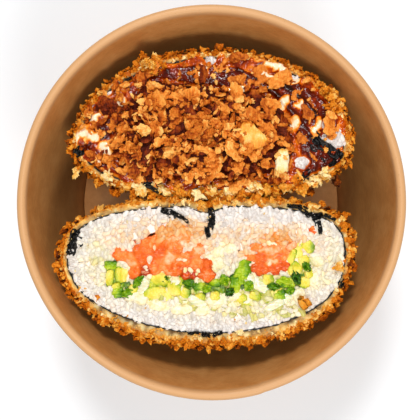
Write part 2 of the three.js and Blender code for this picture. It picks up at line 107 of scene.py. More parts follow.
class Finish:
    """One material, whose nodes are added by its methods. Constants are set on the shader's own sockets."""

    def __init__(self, name, **constants):
        self.material = bpy.data.materials.new(name)
        self.material.use_nodes = True
        self.tree = self.material.node_tree
        self.shader = self.tree.nodes["Principled BSDF"]
        for key, value in constants.items():
            self.shader.inputs[key.replace("_", " ").title().replace("Ior", "IOR")].default_value = value
        self.place = self.node("ShaderNodeTexCoord", output="Object")

    def node(self, kind, settings=None, values=None, output=0):
        """Adds a node with its settings first, and then the values or links of its sockets."""
        node = self.tree.nodes.new(kind)
        for key, value in (settings or {}).items():
            if key == "stops":
                self.set_stops(node.color_ramp, value)
            else:
                setattr(node, key, value)
        for key, value in (values or {}).items():
            if isinstance(value, Socket):
                self.tree.links.new(value.output, node.inputs[key])
            else:
                node.inputs[key].default_value = value
        return Socket(self, node.outputs[output])

    @staticmethod
    def set_stops(ramp, stops):
        while len(ramp.elements) < len(stops):
            ramp.elements.new(0.5)
        for element, (position, code) in zip(ramp.elements, stops):
            element.position = position
            element.color = colour(code)

    def noise(self, size, detail=3.0, stretch=(1, 1, 1), distortion=0.0):
        """Noise from 0 to 1 whose patches are about size across."""
        scale = [s / size for s in stretch]
        where = self.node("ShaderNodeVectorMath", {"operation": "MULTIPLY"}, {0: self.place, 1: scale})
        values = {"Vector": where, "Scale": 1.0, "Detail": detail, "Distortion": distortion}
        return self.node("ShaderNodeTexNoise", values=values)

    def cells(self, size):
        """Distance to the middle of the nearest of many cells, each about size across."""
        return self.node("ShaderNodeTexVoronoi", values={"Vector": self.place, "Scale": 1 / size})

    def ramp(self, value, *stops):
        return self.node("ShaderNodeValToRGB", {"stops": stops}, {"Fac": value})

    def mix(self, amount, low, high):
        """One colour over another. Colours may be codes."""
        low, high = [colour(c) if isinstance(c, str) else c for c in (low, high)]
        settings = {"data_type": "RGBA", "clamp_factor": True}
        return self.node("ShaderNodeMix", settings, {0: amount, 6: low, 7: high}, output=2)

    def attribute(self, name):
        return self.node("ShaderNodeAttribute", {"attribute_name": name}, output="Fac")

    def paint(self, base, roughness=None):
        self.tree.links.new(base.output, self.shader.inputs["Base Color"])
        if roughness is not None:
            self.tree.links.new(roughness.output, self.shader.inputs["Roughness"])

    def bump(self, height, depth):
        """Fine relief, depth metres from its lowest to its highest."""
        settings = {"Height": height, "Distance": depth, "Strength": 1.0}
        normal = self.node("ShaderNodeBump", values=settings)
        self.tree.links.new(normal.output, self.shader.inputs["Normal"])


def kraft_paper():
    """Brown unbleached board: mottled, with short fibres, and paler where it rolls over at the rim."""
    finish = Finish("kraft_paper", specular_ior_level=0.25, coat_weight=0.06, coat_roughness=0.2)
    mottle = finish.noise(9 * MM, 4)
    fibres = finish.noise(1.3 * MM, 3, stretch=(0.5, 0.5, 1.6))
    specks = finish.noise(0.5 * MM, 2)
    tone = 0.5 * mottle + 0.35 * fibres + 0.15 * specks
    base = finish.ramp(tone, (0.34, "#c28042"), (0.5, "#d2904e"), (0.66, "#dea05e"))
    base = finish.mix(finish.attribute("lip"), base, "#d29f6c")
    dark = specks.between(0.64, 0.76)
    finish.paint(finish.mix(0.35 * dark, base, "#8a5626"), roughness=0.4 + 0.22 * fibres)
    finish.bump(0.6 * fibres + 0.4 * specks, 0.08 * MM)
    return finish.material


def crust_crumb():
    """Fried breadcrumbs. tone runs from pale batter, 0, to well browned, 1, and is raised in the gaps as
    painted shade. The batter turns grey-brown next to the nori, partly as the nori showing through it and
    partly as painted shade, and its dark pits are painted shade in its pores.
    """
    finish = Finish("crust_crumb", specular_ior_level=0.12, subsurface_weight=0.08, subsurface_scale=0.6 * MM)
    tone = finish.attribute("tone")
    patches = finish.noise(4.0 * MM, 3)
    grit = finish.noise(0.6 * MM, 3)
    pits = finish.cells(0.9 * MM)
    level = tone + 0.7 * (patches - 0.5) + 0.4 * (grit - 0.5)
    base = finish.ramp(
        level, (0.0, "#fbe2a4"), (0.14, "#f2c26a"), (0.28, "#e69e34"), (0.46, "#da7c12"), (0.64, "#b25800"),
        (0.82, "#6e2e02"), (1.0, "#341200"),
    )
    # Grey-brown batter next to the nori: partly the nori showing through, partly painted shade.
    grey_and_shaded_batter = finish.ramp(patches + 0.5 * (grit - 0.5), (0.35, "#6e5232"), (0.5, "#a88250"), (0.65, "#cba468"))
    base = finish.mix(finish.attribute("damp"), base, grey_and_shaded_batter)
    # Darker pits: painted shade in the crust's pores.
    pore_shade = pits.between(0.5, 0.15) * tone.between(0.1, 0.6)
    finish.paint(finish.mix(0.45 * pore_shade, base, "#5a2600"), roughness=0.45 + 0.35 * grit)
    finish.bump(0.6 * grit + 0.4 * pits, 0.3 * MM)
    return finish.material


def nori_sheet():
    """Moist seaweed: near black, with a broken gloss over its pressed grain."""
    finish = Finish("nori_sheet", specular_ior_level=0.35, coat_weight=0.12, coat_roughness=0.25)
    grain = finish.noise(0.9 * MM, 4, distortion=0.6)
    fine = finish.noise(0.3 * MM, 2)
    base = finish.ramp(grain, (0.3, "#020202"), (0.55, "#080605"), (0.8, "#191208"))
    finish.paint(base, roughness=0.3 + 0.4 * fine)
    finish.bump(0.7 * grain + 0.3 * fine, 0.25 * MM)
    return finish.material


def cooked_rice():
    """Cooked grains. tone is a grain's own shade, stain comes from the salmon and cream from the filling."""
    finish = Finish(
        "cooked_rice", subsurface_weight=0.4, subsurface_scale=1.2 * MM, subsurface_radius=WARM_DEPTHS,
    )
    cream = finish.attribute("cream")
    cloud = finish.noise(1.8 * MM, 2)
    drift = finish.noise(7 * MM, 3)
    shade = 0.5 * finish.attribute("tone") + 0.3 * cloud + 0.2 * drift
    base = finish.ramp(shade, (0.2, "#e6d6ca"), (0.45, "#f2e3d6"), (0.8, "#fbf0e4"))
    soaked = finish.ramp(cream, (0.0, "#faead0"), (0.7, "#f8e6b6"), (0.85, "#dccf76"), (1.0, "#b0b04c"))
    base = finish.mix(cream.between(0.0, 0.75), base, soaked)
    stain = finish.attribute("stain") + 0.35 * (drift - 0.5)
    smear = finish.ramp(stain, (0.15, "#fde8d4"), (0.45, "#fdd6ae"), (0.7, "#fbb675"), (0.95, "#f6933a"))
    base = finish.mix(stain.between(0.0, 0.4), base, smear)
    finish.paint(base, roughness=0.26 + 0.26 * cloud)
    finish.bump(finish.noise(0.9 * MM, 2), 0.05 * MM)
    return finish.material


def raw_salmon():
    """Diced salmon: wet orange flesh with thin pale lines of fat. tone is each dice's own shade, lowered in
    the gaps as painted shade.
    """
    finish = Finish(
        "raw_salmon", roughness=0.12, specular_ior_level=0.22, subsurface_weight=0.06,
        subsurface_scale=1.0 * MM,
    )
    warp = finish.noise(3.0 * MM, 3, distortion=1.0)
    bands = finish.noise(1.3 * MM, 2, stretch=(0.45, 1.3, 1), distortion=1.5)
    flesh = finish.ramp(
        0.8 * finish.attribute("tone") + warp - 0.4,
        (0.0, "#ae3206"), (0.18, "#dc5210"), (0.42, "#ee6c24"), (0.64, "#f68a3c"), (0.9, "#fcbe90"),
    )
    fat = bands.between(0.58, 0.68)
    finish.paint(finish.mix(0.4 * fat, flesh, "#fdcb98"))
    finish.bump(0.6 * bands + 0.4 * finish.noise(0.8 * MM, 2), 0.4 * MM)
    return finish.material


def soft_cheese():
    """Cream cheese mixed with mayonnaise."""
    finish = Finish(
        "soft_cheese", subsurface_weight=0.25, subsurface_scale=1.2 * MM, subsurface_radius=WARM_DEPTHS,
    )
    cloud = finish.noise(2.4 * MM, 3)
    base = finish.ramp(cloud, (0.3, "#ead494"), (0.5, "#f8e8bc"), (0.72, "#fef6de"))
    finish.paint(base, roughness=0.22 + 0.2 * cloud)
    finish.bump(finish.noise(1.1 * MM, 3), 0.4 * MM)
    return finish.material


def avocado_flesh():
    """Avocado: butter yellow inside, turning green towards the skin. tone is 0 inside and 1 at the skin, and
    is raised in the gaps as painted shade.
    """
    finish = Finish("avocado_flesh", subsurface_weight=0.15, subsurface_scale=0.8 * MM)
    cloud = finish.noise(2.0 * MM, 3)
    fine = finish.noise(0.7 * MM, 3)
    level = finish.attribute("tone") + 0.6 * (cloud - 0.5) + 0.25 * (fine - 0.5)
    base = finish.ramp(
        level, (0.05, "#f8e47a"), (0.32, "#efd84a"), (0.56, "#d6cf34"), (0.76, "#a2b41c"), (0.9, "#64870c"),
        (1.0, "#3a5c06"),
    )
    finish.paint(base, roughness=0.22 + 0.3 * cloud)
    finish.bump(0.6 * cloud + 0.4 * fine, 0.4 * MM)
    return finish.material


def green_leaf():
    """Fresh green vegetable. tone runs from pale stalk, 0, to dark leaf, 1, and is raised in the gaps as
    painted shade and lowered on raised folds as painted light.
    """
    finish = Finish(
        "green_leaf", roughness=0.35, specular_ior_level=0.3, coat_weight=0.08, coat_roughness=0.08,
    )
    veins = finish.noise(1.0 * MM, 3, stretch=(0.5, 1.6, 1), distortion=0.6)
    base = finish.ramp(
        finish.attribute("tone") + 0.8 * (veins - 0.5),
        (0.0, "#d0d448"), (0.28, "#a6c20c"), (0.55, "#679600"), (0.8, "#366800"), (1.0, "#183600"),
    )
    finish.paint(base)
    finish.bump(veins, 0.35 * MM)
    return finish.material


def raw_onion():
    """Translucent slices of onion in the filling."""
    finish = Finish(
        "raw_onion", roughness=0.22, subsurface_weight=0.4, subsurface_scale=1.2 * MM, coat_weight=0.3,
    )
    lines = finish.noise(1.2 * MM, 2, stretch=(0.3, 1.6, 1))
    finish.paint(finish.ramp(lines, (0.3, "#dcd2a0"), (0.55, "#ece6c0"), (0.8, "#f8f4dc")))
    finish.bump(lines, 0.12 * MM)
    return finish.material


def fried_onion():
    """Crisp fried onion. tone is each flake's own browning, from pale gold, 0, to dark, 1, and is raised in
    the gaps as painted shade.
    """
    finish = Finish("fried_onion", specular_ior_level=0.14, subsurface_weight=0.08, subsurface_scale=0.6 * MM)
    patches = finish.noise(2.6 * MM, 3, distortion=0.6)
    ridges = finish.noise(1.0 * MM, 3, stretch=(1.6, 0.4, 1), distortion=0.8)
    grit = finish.noise(0.5 * MM, 3)
    level = finish.attribute("tone") + 0.6 * (patches - 0.5) + 0.5 * (ridges - 0.5) + 0.25 * (grit - 0.5)
    base = finish.ramp(
        level, (0.0, "#ffc66e"), (0.2, "#f4a448"), (0.4, "#e2842c"), (0.6, "#c06014"), (0.8, "#842e04"),
        (1.0, "#480f00"),
    )
    finish.paint(base, roughness=0.36 + 0.35 * grit)
    finish.bump(0.3 * grit + 0.7 * ridges, 0.5 * MM)
    return finish.material


def toasted_chip():
    """A pale toasted sliver, browner where tone is higher."""
    finish = Finish("toasted_chip", specular_ior_level=0.3, subsurface_weight=0.1, subsurface_scale=0.8 * MM)
    fibres = finish.noise(0.9 * MM, 3, stretch=(1.6, 0.5, 1))
    blisters = finish.noise(2.2 * MM, 3)
    base = finish.ramp(
        finish.attribute("tone") + 0.5 * (fibres - 0.5) + 0.8 * (blisters - 0.5),
        (0.0, "#f6e4b8"), (0.25, "#f8d280"), (0.5, "#f4ae40"), (0.75, "#e2861c"), (1.0, "#b4580a"),
    )
    finish.paint(base, roughness=0.35 + 0.25 * fibres)
    finish.bump(0.4 * fibres + 0.6 * blisters, 0.7 * MM)
    return finish.material


def soy_glaze():
    """Sweet soy glaze, thin where tone is 0 and deep where it is 1, and mayonnaise where mayo is 1."""
    finish = Finish("soy_glaze", roughness=0.05, specular_ior_level=0.3)
    drift = finish.noise(4.0 * MM, 3, distortion=0.5) - 0.5
    fine = finish.noise(1.2 * MM, 2) - 0.5
    deep = finish.ramp(
        finish.attribute("tone") + 1.2 * drift + 0.3 * fine,
        (0.0, "#ee8a20"), (0.18, "#c85200"), (0.36, "#8e2800"), (0.6, "#561000"), (0.9, "#240700"),
    )
    under = finish.attribute("mayo") + 0.35 * drift + 0.2 * fine
    pale = finish.ramp(
        under, (0.28, "#a23000"), (0.38, "#da6604"), (0.5, "#f4982c"), (0.6, "#f7c480"), (0.74, "#f8dfbc"),
    )
    finish.paint(finish.mix(under.between(0.2, 0.36), deep, pale))
    finish.bump(finish.noise(1.8 * MM, 2), 0.4 * MM)
    return finish.material


def pale_floor():
    return Finish("pale_floor", roughness=0.9, base_color=colour("#f2f4f6")).material


# ---------- Making pieces ----------

def pick(piece):
    """Makes a piece the only one that is selected, and the active one."""
    bpy.ops.object.select_all(action="DESELECT")
    bpy.context.view_layer.objects.active = piece
    piece.select_set(True)


def new_object(name, data):
    made = bpy.data.objects.new(name, data)
    bpy.context.collection.objects.link(made)
    return made


def edit_all(piece, operator, **settings):
    """Runs an operator of edit mode on the whole of a piece."""
    pick(piece)
    bpy.ops.object.mode_set(mode="EDIT")
    bpy.ops.mesh.select_all(action="SELECT")
    operator(**settings)
    bpy.ops.object.mode_set(mode="OBJECT")


def new_primitive(add, name, stretch, **settings):
    """A primitive stretched along its axes, left in edit mode with all of it selected."""
    bpy.ops.object.select_all(action="DESELECT")
    add(**settings)
    piece = bpy.context.active_object
    piece.name = name
    piece.scale = stretch
    bpy.ops.object.transform_apply(location=False, rotation=False, scale=True)
    bpy.ops.object.mode_set(mode="EDIT")
    bpy.ops.mesh.select_all(action="SELECT")
    return piece


def smooth(piece):
    pick(piece)
    bpy.ops.object.shade_smooth()


def apply_modifier(piece, kind, **settings):
    pick(piece)
    modifier = piece.modifiers.new(kind.title(), kind)
    for key, value in settings.items():
        setattr(modifier, key, value)
    bpy.ops.object.modifier_apply(modifier=modifier.name)


def displace(piece, kind, size, depth, middle=0.5, **settings):
    """Moves a mesh along its normals by a pattern whose patches are about size across."""
    texture = bpy.data.textures.new(f"relief_{kind.lower()}", kind)
    texture.noise_scale = size
    for key, value in settings.items():
        setattr(texture, key, value)
    apply_modifier(piece, "DISPLACE", texture=texture, strength=depth, mid_level=middle)


def bend(piece, angle, axis):
    apply_modifier(piece, "SIMPLE_DEFORM", deform_method="BEND", angle=angle, deform_axis=axis)


def joined(name, pieces):
    """Several pieces as one."""
    pick(pieces[0])
    for piece in pieces:
        piece.select_set(True)
    if len(pieces) > 1:
        bpy.ops.object.join()
    pieces[0].name = name
    return pieces[0]


def finish_piece(piece, material, slot, *replaced):
    """Puts a piece's place into its mesh, gives it its material, and hands it to the frame."""
    pick(piece)
    bpy.ops.object.transform_apply(location=True, rotation=True, scale=True)
    piece.data.materials.clear()
    piece.data.materials.append(material)
    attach(piece, "root")
    if replaced:
        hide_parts(*replaced)
    return piece


def vertices_of(piece):
    places = np.empty(len(piece.data.vertices) * 3)
    piece.data.vertices.foreach_get("co", places)
    return places.reshape(-1, 3)


def set_attribute(piece, name, values):
    """One number for each vertex, which a material reads."""
    attributes = piece.data.attributes
    attribute = attributes.get(name) or attributes.new(name, "FLOAT", "POINT")
    attribute.data.foreach_set("value", np.asarray(values, dtype=np.float32))


def values_of(piece, name):
    values = np.zeros(len(piece.data.vertices), dtype=np.float32)
    piece.data.attributes[name].data.foreach_get("value", values)
    return values


def ripple(x, y, layer, size=1.0):
    """Smooth noise over the plane, from about -1 to 1, its waves about size across. Each layer is its own."""
    return noise.noise(Vector((x, y, layer)) / size)


def staggered(number, stride, steps):
    """A share from 0 to 1 that jumps about from each number to the next, in even steps."""
    return (number * stride) % steps / (steps - 1)


# ---------- Reading the CAD solids ----------

def copy_of_node(node, name):
    """A merged copy of a CAD node's mesh, as a new piece."""
    piece = new_object(name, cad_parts[node].data.copy())
    edit_all(piece, bpy.ops.mesh.remove_doubles, threshold=1e-6)
    return piece


def surface_of(node):
    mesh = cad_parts[node].data
    return BVHTree.FromPolygons([v.co for v in mesh.vertices], [tuple(p.vertices) for p in mesh.polygons])


def distance_to(tree, places):
    return np.array([tree.find_nearest(Vector(place))[3] for place in places])


def top_of(tree, x, y):
    """The height of the highest surface at x, y, or None where there is none."""
    hit = tree.ray_cast(Vector((x, y, BOWL_TOP)), Vector((0, 0, -1)))[0]
    return hit.z if hit else None


def outline_of(node, height, count=240, rounding=4):
    """The outer outline of a node at a height, as x and y, with its facets rounded off."""
    low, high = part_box(node)
    middle = Vector(((low[0] + high[0]) / 2, (low[1] + high[1]) / 2, height))
    reach = 2 * (high[0] - low[0])
    tree = surface_of(node)
    ring = []
    for k in range(count):
        angle = 2 * math.pi * k / count
        outwards = Vector((math.cos(angle), math.sin(angle), 0))
        hit = tree.ray_cast(middle + outwards * reach, -outwards)[0]
        ring.append((hit.x, hit.y))
    ring = np.array(ring)
    return sum(np.roll(ring, shift, axis=0) for shift in range(-rounding, rounding + 1)) / (2 * rounding + 1)


class Outline:
    """A closed outline round its middle, which tells how far inside it a point lies."""

    def __init__(self, ring):
        self.ring = ring
        self.middle = ring.mean(axis=0)

    def depth(self, x, y):
        """Metres from the point to the outline: above 0 inside, below 0 outside."""
        points = self.ring - (x, y)
        nearest = math.sqrt(float((points ** 2).sum(axis=1).min()))
        rolled = np.roll(self.ring, -1, axis=0)
        crosses = (self.ring[:, 1] > y) != (rolled[:, 1] > y)
        rise = rolled[:, 1] - self.ring[:, 1]
        rise[rise == 0] = 1e-12
        where = self.ring[:, 0] + (y - self.ring[:, 1]) * (rolled[:, 0] - self.ring[:, 0]) / rise
        inside = bool(np.count_nonzero(crosses & (x < where)) % 2)
        return nearest if inside else -nearest


def points_on(piece, count, seed, weight):
    """Places spread over a mesh by area, and their normals. weight favours faces by centre and normal."""
    chance = np.random.default_rng(seed)
    mesh = piece.data
    mesh.calc_loop_triangles()
    corners = np.empty(len(mesh.loop_triangles) * 3, dtype=np.int64)
    mesh.loop_triangles.foreach_get("vertices", corners)
    places = vertices_of(piece)
    a, b, c = [places[corners.reshape(-1, 3)[:, k]] for k in range(3)]
    cross = np.cross(b - a, c - a)
    area = np.linalg.norm(cross, axis=1)
    normals = cross / np.maximum(area, 1e-18)[:, None]
    area = area * weight((a + b + c) / 3, normals)
    chosen = chance.choice(len(area), size=count, p=area / area.sum())
    u, v = chance.random((2, count))
    over = u + v > 1
    u[over], v[over] = 1 - u[over], 1 - v[over]
    spots = a[chosen] + u[:, None] * (b - a)[chosen] + v[:, None] * (c - a)[chosen]
    return spots, normals[chosen]


# ---------- Small things laid by the hundred ----------

def shape_of(piece):
    """A modelled piece as plain arrays, for copying, and the piece itself is taken away."""
    mesh = piece.data
    corners = np.empty(len(mesh.loops), dtype=np.int64)
    mesh.loops.foreach_get("vertex_index", corners)
    sizes = np.array([len(face.vertices) for face in mesh.polygons])
    shape = (vertices_of(piece), corners, sizes)
    bpy.data.objects.remove(piece)
    return shape


def turn_matrix(chance, tilt=math.pi):
    """A random turn about the upright axis, after a random tilt of at most tilt."""
    lean = Euler((chance.uniform(-tilt, tilt), chance.uniform(-tilt, tilt), 0)).to_matrix()
    return Matrix.Rotation(chance.uniform(0, 2 * math.pi), 3, "Z") @ lean


def uneven(chance, size, low, high):
    """A size along each of three axes, each of them low to high times the size."""
    return [size * chance.uniform(low, high) for _ in range(3)]


class Scatter:
    """Many small copies of a few shapes, gathered into one mesh."""

    def __init__(self, shapes, smooth=False):
        self.shapes = shapes
        self.smooth = smooth
        self.places = []
        self.corners = []
        self.sizes = []
        self.numbers = {}
        self.count = 0

    def add(self, kind, place, turn, size, **numbers):
        """Lays one copy. numbers are what a material reads from it, such as its tone."""
        vertices, corners, sizes = self.shapes[kind % len(self.shapes)]
        stretched = vertices * np.asarray(size)
        self.places.append(stretched @ np.array(turn).T + np.asarray(place))
        self.corners.append(corners + self.count)
        self.sizes.append(sizes)
        for name, value in numbers.items():
            self.numbers.setdefault(name, []).append(np.full(len(vertices), value))
        self.count += len(vertices)

    def build(self, name, material, slot, *replaced):
        mesh = bpy.data.meshes.new(name)
        places = np.concatenate(self.places)
        corners = np.concatenate(self.corners)
        sizes = np.concatenate(self.sizes)
        mesh.vertices.add(len(places))
        mesh.vertices.foreach_set("co", places.ravel())
        mesh.loops.add(len(corners))
        mesh.loops.foreach_set("vertex_index", corners)
        mesh.polygons.add(len(sizes))
        mesh.polygons.foreach_set("loop_start", np.concatenate([[0], np.cumsum(sizes)[:-1]]))
        mesh.polygons.foreach_set("use_smooth", np.full(len(sizes), self.smooth))
        mesh.update(calc_edges=True)
        piece = new_object(name, mesh)
        for key, values in self.numbers.items():
            set_attribute(piece, key, np.concatenate(values))
        return finish_piece(piece, material, slot, *replaced)


SHADE_CELL = 1.4 * MM


def shade_gaps(pieces, reach, amount):
    """Raises the tone of what lies deep between its neighbours: painted shade, where crumbs and flakes look
    darkest.
    """
    places = [vertices_of(piece) for piece in pieces]
    everything = np.concatenate(places)
    low = everything[:, :2].min(axis=0) - SHADE_CELL

    def cells(spots):
        return ((spots[:, :2] - low) / SHADE_CELL).astype(int).T

    wide, deep = cells(everything).max(axis=1) + 2
    top = np.full((wide, deep), everything[:, 2].min())
    np.maximum.at(top, tuple(cells(everything)), everything[:, 2])
    around = [np.roll(top, (x, y), (0, 1)) for x in (-1, 0, 1) for y in (-1, 0, 1)]
    level = np.mean(around, axis=0)
    for piece, spots in zip(pieces, places):
        depth = np.clip((level[tuple(cells(spots))] - spots[:, 2]) / reach, 0, 1)
        set_attribute(piece, "tone", values_of(piece, "tone") + amount * depth)


def rice_grain(seed):
    """A plump cooked grain, 1 long, a little bent, with blunt ends."""
    piece = new_primitive(
        bpy.ops.mesh.primitive_uv_sphere_add, "grain", (0.5, 0.45, 1.0), segments=8, ring_count=6, radius=0.5,
    )
    bpy.ops.transform.vertex_random(offset=0.03, seed=seed)
    bpy.ops.object.mode_set(mode="OBJECT")
    piece.data.transform(Matrix.Rotation(math.pi / 2, 4, "Y"))
    apply_modifier(piece, "CAST", cast_type="CUBOID", factor=0.2, use_x=True, use_y=True, use_z=True)
    bend(piece, math.radians(14 + 8 * seed), "Z")
    return shape_of(piece)


def bread_crumb(seed):
    """A jagged flake of bread, 1 across, with sharp corners."""
    chance = random.Random(seed)
    stretch = (1.15, chance.uniform(0.45, 0.8), chance.uniform(0.35, 0.6))
    piece = new_primitive(
        bpy.ops.mesh.primitive_ico_sphere_add, "crumb", stretch, subdivisions=2, radius=0.5,
    )
    bpy.ops.transform.vertex_random(offset=0.34, seed=seed)
    bpy.ops.object.mode_set(mode="OBJECT")
    return shape_of(piece)


def roughened_ball(name, stretch, subdivisions, shift, *reliefs):
    """A ball pushed in and out by reliefs, which are read shift away so that each ball gets its own."""
    piece = new_primitive(
        bpy.ops.mesh.primitive_ico_sphere_add, name, stretch, subdivisions=subdivisions, radius=0.5,
    )
    bpy.ops.object.mode_set(mode="OBJECT")
    piece.data.transform(Matrix.Translation(shift))
    for kind, size, depth, settings in reliefs:
        displace(piece, kind, size, depth, **settings)
    piece.data.transform(Matrix.Translation([-value for value in shift]))
    return piece


def onion_flake(seed, subdivisions=4):
    """A ragged, blistered flake of fried onion, 1 long, a little curled."""
    chance = random.Random(seed)
    width = chance.choice((0.26, 0.38, 0.5, 0.62, 0.78))
    piece = roughened_ball(
        "flake", (1.0, width, 0.36), subdivisions, (seed * 2.3, seed * 0.7, 0),
        ("CLOUDS", 0.3, 0.34, {"noise_depth": 3}), ("VORONOI", 0.16, -0.16, {"middle": 0.3}),
    )
    flatness = chance.uniform(0.4, 0.75)
    piece.data.transform(Matrix.Diagonal((1, 1, flatness, 1)))
    bend(piece, math.radians(chance.uniform(-80, 80)), "Y")
    return shape_of(piece)


def fried_lump(seed):
    """A knobbly fried lump, 1 across."""
    piece = roughened_ball(
        "lump", (1.0, 0.8, 0.65), 3, (seed * 1.7, 0, 0),
        ("VORONOI", 0.3, -0.5, {"middle": 0.35}), ("CLOUDS", 0.13, 0.34, {"noise_depth": 2}),
    )
    return shape_of(piece)


# ---------- Bowl ----------

LIP = 1.8 * MM  # radius of the rolled lip
BOARD = 0.9 * MM
HEM_HEIGHT = 3.4 * MM
HEM_WIDTH = 2.2 * MM
HEM_ROUNDING = 0.25 * MM
FLOOR_RADIUS = 61.5 * MM  # inside of the wall at the floor
FLOOR_START = 12 * MM  # radius of the first ring round the hub
HUB = 0.5 * MM  # radius of the hole that the floor is turned round, which is filled in at the end
RIM_X, RIM_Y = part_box("bowl_wall")[1][:2]
RIM = (RIM_X + RIM_Y) / 2
OVAL = (RIM_Y - RIM_X) / (2 * RIM)  # how much longer than wide the rim is, towards the top
SEAM_ANGLE = math.radians(-75.5)
SEAM_STEP = 0.28 * MM
SEAM_SPREAD = 0.35  # radians over which the step dies away
ROUND_STEPS = 224


def wall_radius(z):
    slope = (RIM - 2 * LIP - FLOOR_RADIUS) / (BOWL_TOP - LIP - FLOOR_TOP)
    return FLOOR_RADIUS + (z - FLOOR_TOP) * slope


def turned(name, profile):
    """A round piece raised ring by ring through a profile of (radius, height), and closed on itself."""
    bpy.ops.object.select_all(action="DESELECT")
    radius, height = profile[0]
    bpy.ops.mesh.primitive_circle_add(vertices=ROUND_STEPS, radius=radius, location=(0, 0, height))
    piece = bpy.context.active_object
    piece.name = name
    bpy.ops.object.mode_set(mode="EDIT")
    bpy.ops.mesh.select_all(action="SELECT")
    for (r0, z0), (r1, z1) in zip(profile, profile[1:]):
        bpy.ops.mesh.extrude_region_move(TRANSFORM_OT_translate={"value": (0, 0, z1 - z0)})
        bpy.ops.transform.resize(value=(r1 / r0, r1 / r0, 1))
    bpy.ops.mesh.select_all(action="SELECT")
    bpy.ops.mesh.remove_doubles(threshold=1e-6)
    bpy.ops.mesh.normals_make_consistent(inside=False)
    bpy.ops.object.mode_set(mode="OBJECT")
    bpy.ops.object.transform_apply(location=True, rotation=True, scale=True)
    for vertex in piece.data.vertices:
        oval = OVAL * vertex.co.z / BOWL_TOP
        vertex.co.x *= 1 - oval
        vertex.co.y *= 1 + oval
    bpy.ops.object.shade_smooth_by_angle(angle=math.radians(50))
    return piece


def bowl_wall(paper):
    """The wall: hem, cone and rolled lip, with the step of the board's glued overlap down one side."""
    hem = wall_radius(0) + BOARD - HEM_WIDTH
    profile = [(hem, HEM_ROUNDING), (hem + 0.4 * MM, 0.0), (wall_radius(0) + 0.5 * MM, 0.0)]
    profile += [(wall_radius(z) + BOARD, z) for z in np.linspace(0.5 * MM, BOWL_TOP - 2.1 * LIP, 12)]
    for degrees in range(-115, 181, 15):
        angle = math.radians(degrees)
        profile.append((RIM - LIP + LIP * math.cos(angle), BOWL_TOP - LIP + LIP * math.sin(angle)))
    profile += [(wall_radius(z), z) for z in np.linspace(BOWL_TOP - 1.8 * LIP, HEM_HEIGHT, 14)]
    profile += [(hem + 0.2 * MM, HEM_HEIGHT), (hem, HEM_HEIGHT - 0.2 * MM), (hem, HEM_ROUNDING)]
    piece = turned("paper_wall", profile)
    for vertex in piece.data.vertices:
        past_seam = (math.atan2(vertex.co.y, vertex.co.x) - SEAM_ANGLE) % (2 * math.pi)
        overlap = math.exp(-past_seam / SEAM_SPREAD) * min(1.0, vertex.co.z / (8 * MM))
        wobble = 0.35 * MM * noise.noise(Vector((vertex.co.x, vertex.co.y, 0)) * 22)
        grow = 1 - (SEAM_STEP * overlap + wobble * vertex.co.z / BOWL_TOP) / RIM
        vertex.co.x *= grow
        vertex.co.y *= grow
    heights = vertices_of(piece)[:, 2]
    set_attribute(piece, "lip", np.clip((heights - BOWL_TOP + 1.8 * LIP) / (0.7 * LIP), 0, 1))
    return finish_piece(piece, paper, "paper", "bowl_wall")


def bowl_floor(paper):
    """The raised floor: a disc with its edge turned down inside the wall."""
    edge = wall_radius(FLOOR_TOP) - 0.35 * MM
    underside = FLOOR_TOP - 0.7 * MM
    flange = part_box("bowl_floor")[0][2]
    inner = edge - 1.0 * MM
    profile = [(HUB, FLOOR_TOP)]
    profile += [(r, FLOOR_TOP) for r in np.linspace(FLOOR_START, edge - 1.2 * MM, 5)]
    profile += [(edge - 0.3 * MM, FLOOR_TOP - 0.15 * MM), (edge - 0.35 * MM, flange), (inner, flange)]
    profile += [(inner, underside), (FLOOR_START, underside), (HUB, underside), (HUB, FLOOR_TOP)]
    piece = turned("paper_floor", profile)
    mesh = bmesh.new()
    mesh.from_mesh(piece.data)
    hole = [v for v in mesh.verts if math.hypot(v.co.x, v.co.y) < 2 * HUB]
    tube = [f for f in mesh.faces if all(v in hole for v in f.verts)]
    bmesh.ops.delete(mesh, geom=tube, context="FACES_ONLY")
    bmesh.ops.holes_fill(mesh, edges=[e for e in mesh.edges if e.is_boundary], sides=0)
    bmesh.ops.recalc_face_normals(mesh, faces=mesh.faces)
    mesh.to_mesh(piece.data)
    mesh.free()
    return finish_piece(piece, paper, "paper", "bowl_floor")


# ---------- Crust ----------

CRUST_CELL = 0.92 * MM
BATTER = 1.0 * MM  # pale batter next to the nori
BROWNED = 3.0 * MM  # and this far out the crumbs are fully browned
CRUMBS = 1700  # on each half
CRUMB_SIZES = (1.0, 1.4, 1.9, 2.6, 3.6)  # in mm
CRUMB_SHAPES = 12
CRUMB_STRETCH = (0.7, 1.3)


def browning(distance, chance, brown):
    """The tone of crust that lies a distance from the nori: brown is added where it is fully browned."""
    level = np.clip((distance - BATTER) / (BROWNED - BATTER), 0, 1)
    return 0.18 + brown * level + chance.uniform(-0.18, 0.18, len(level))


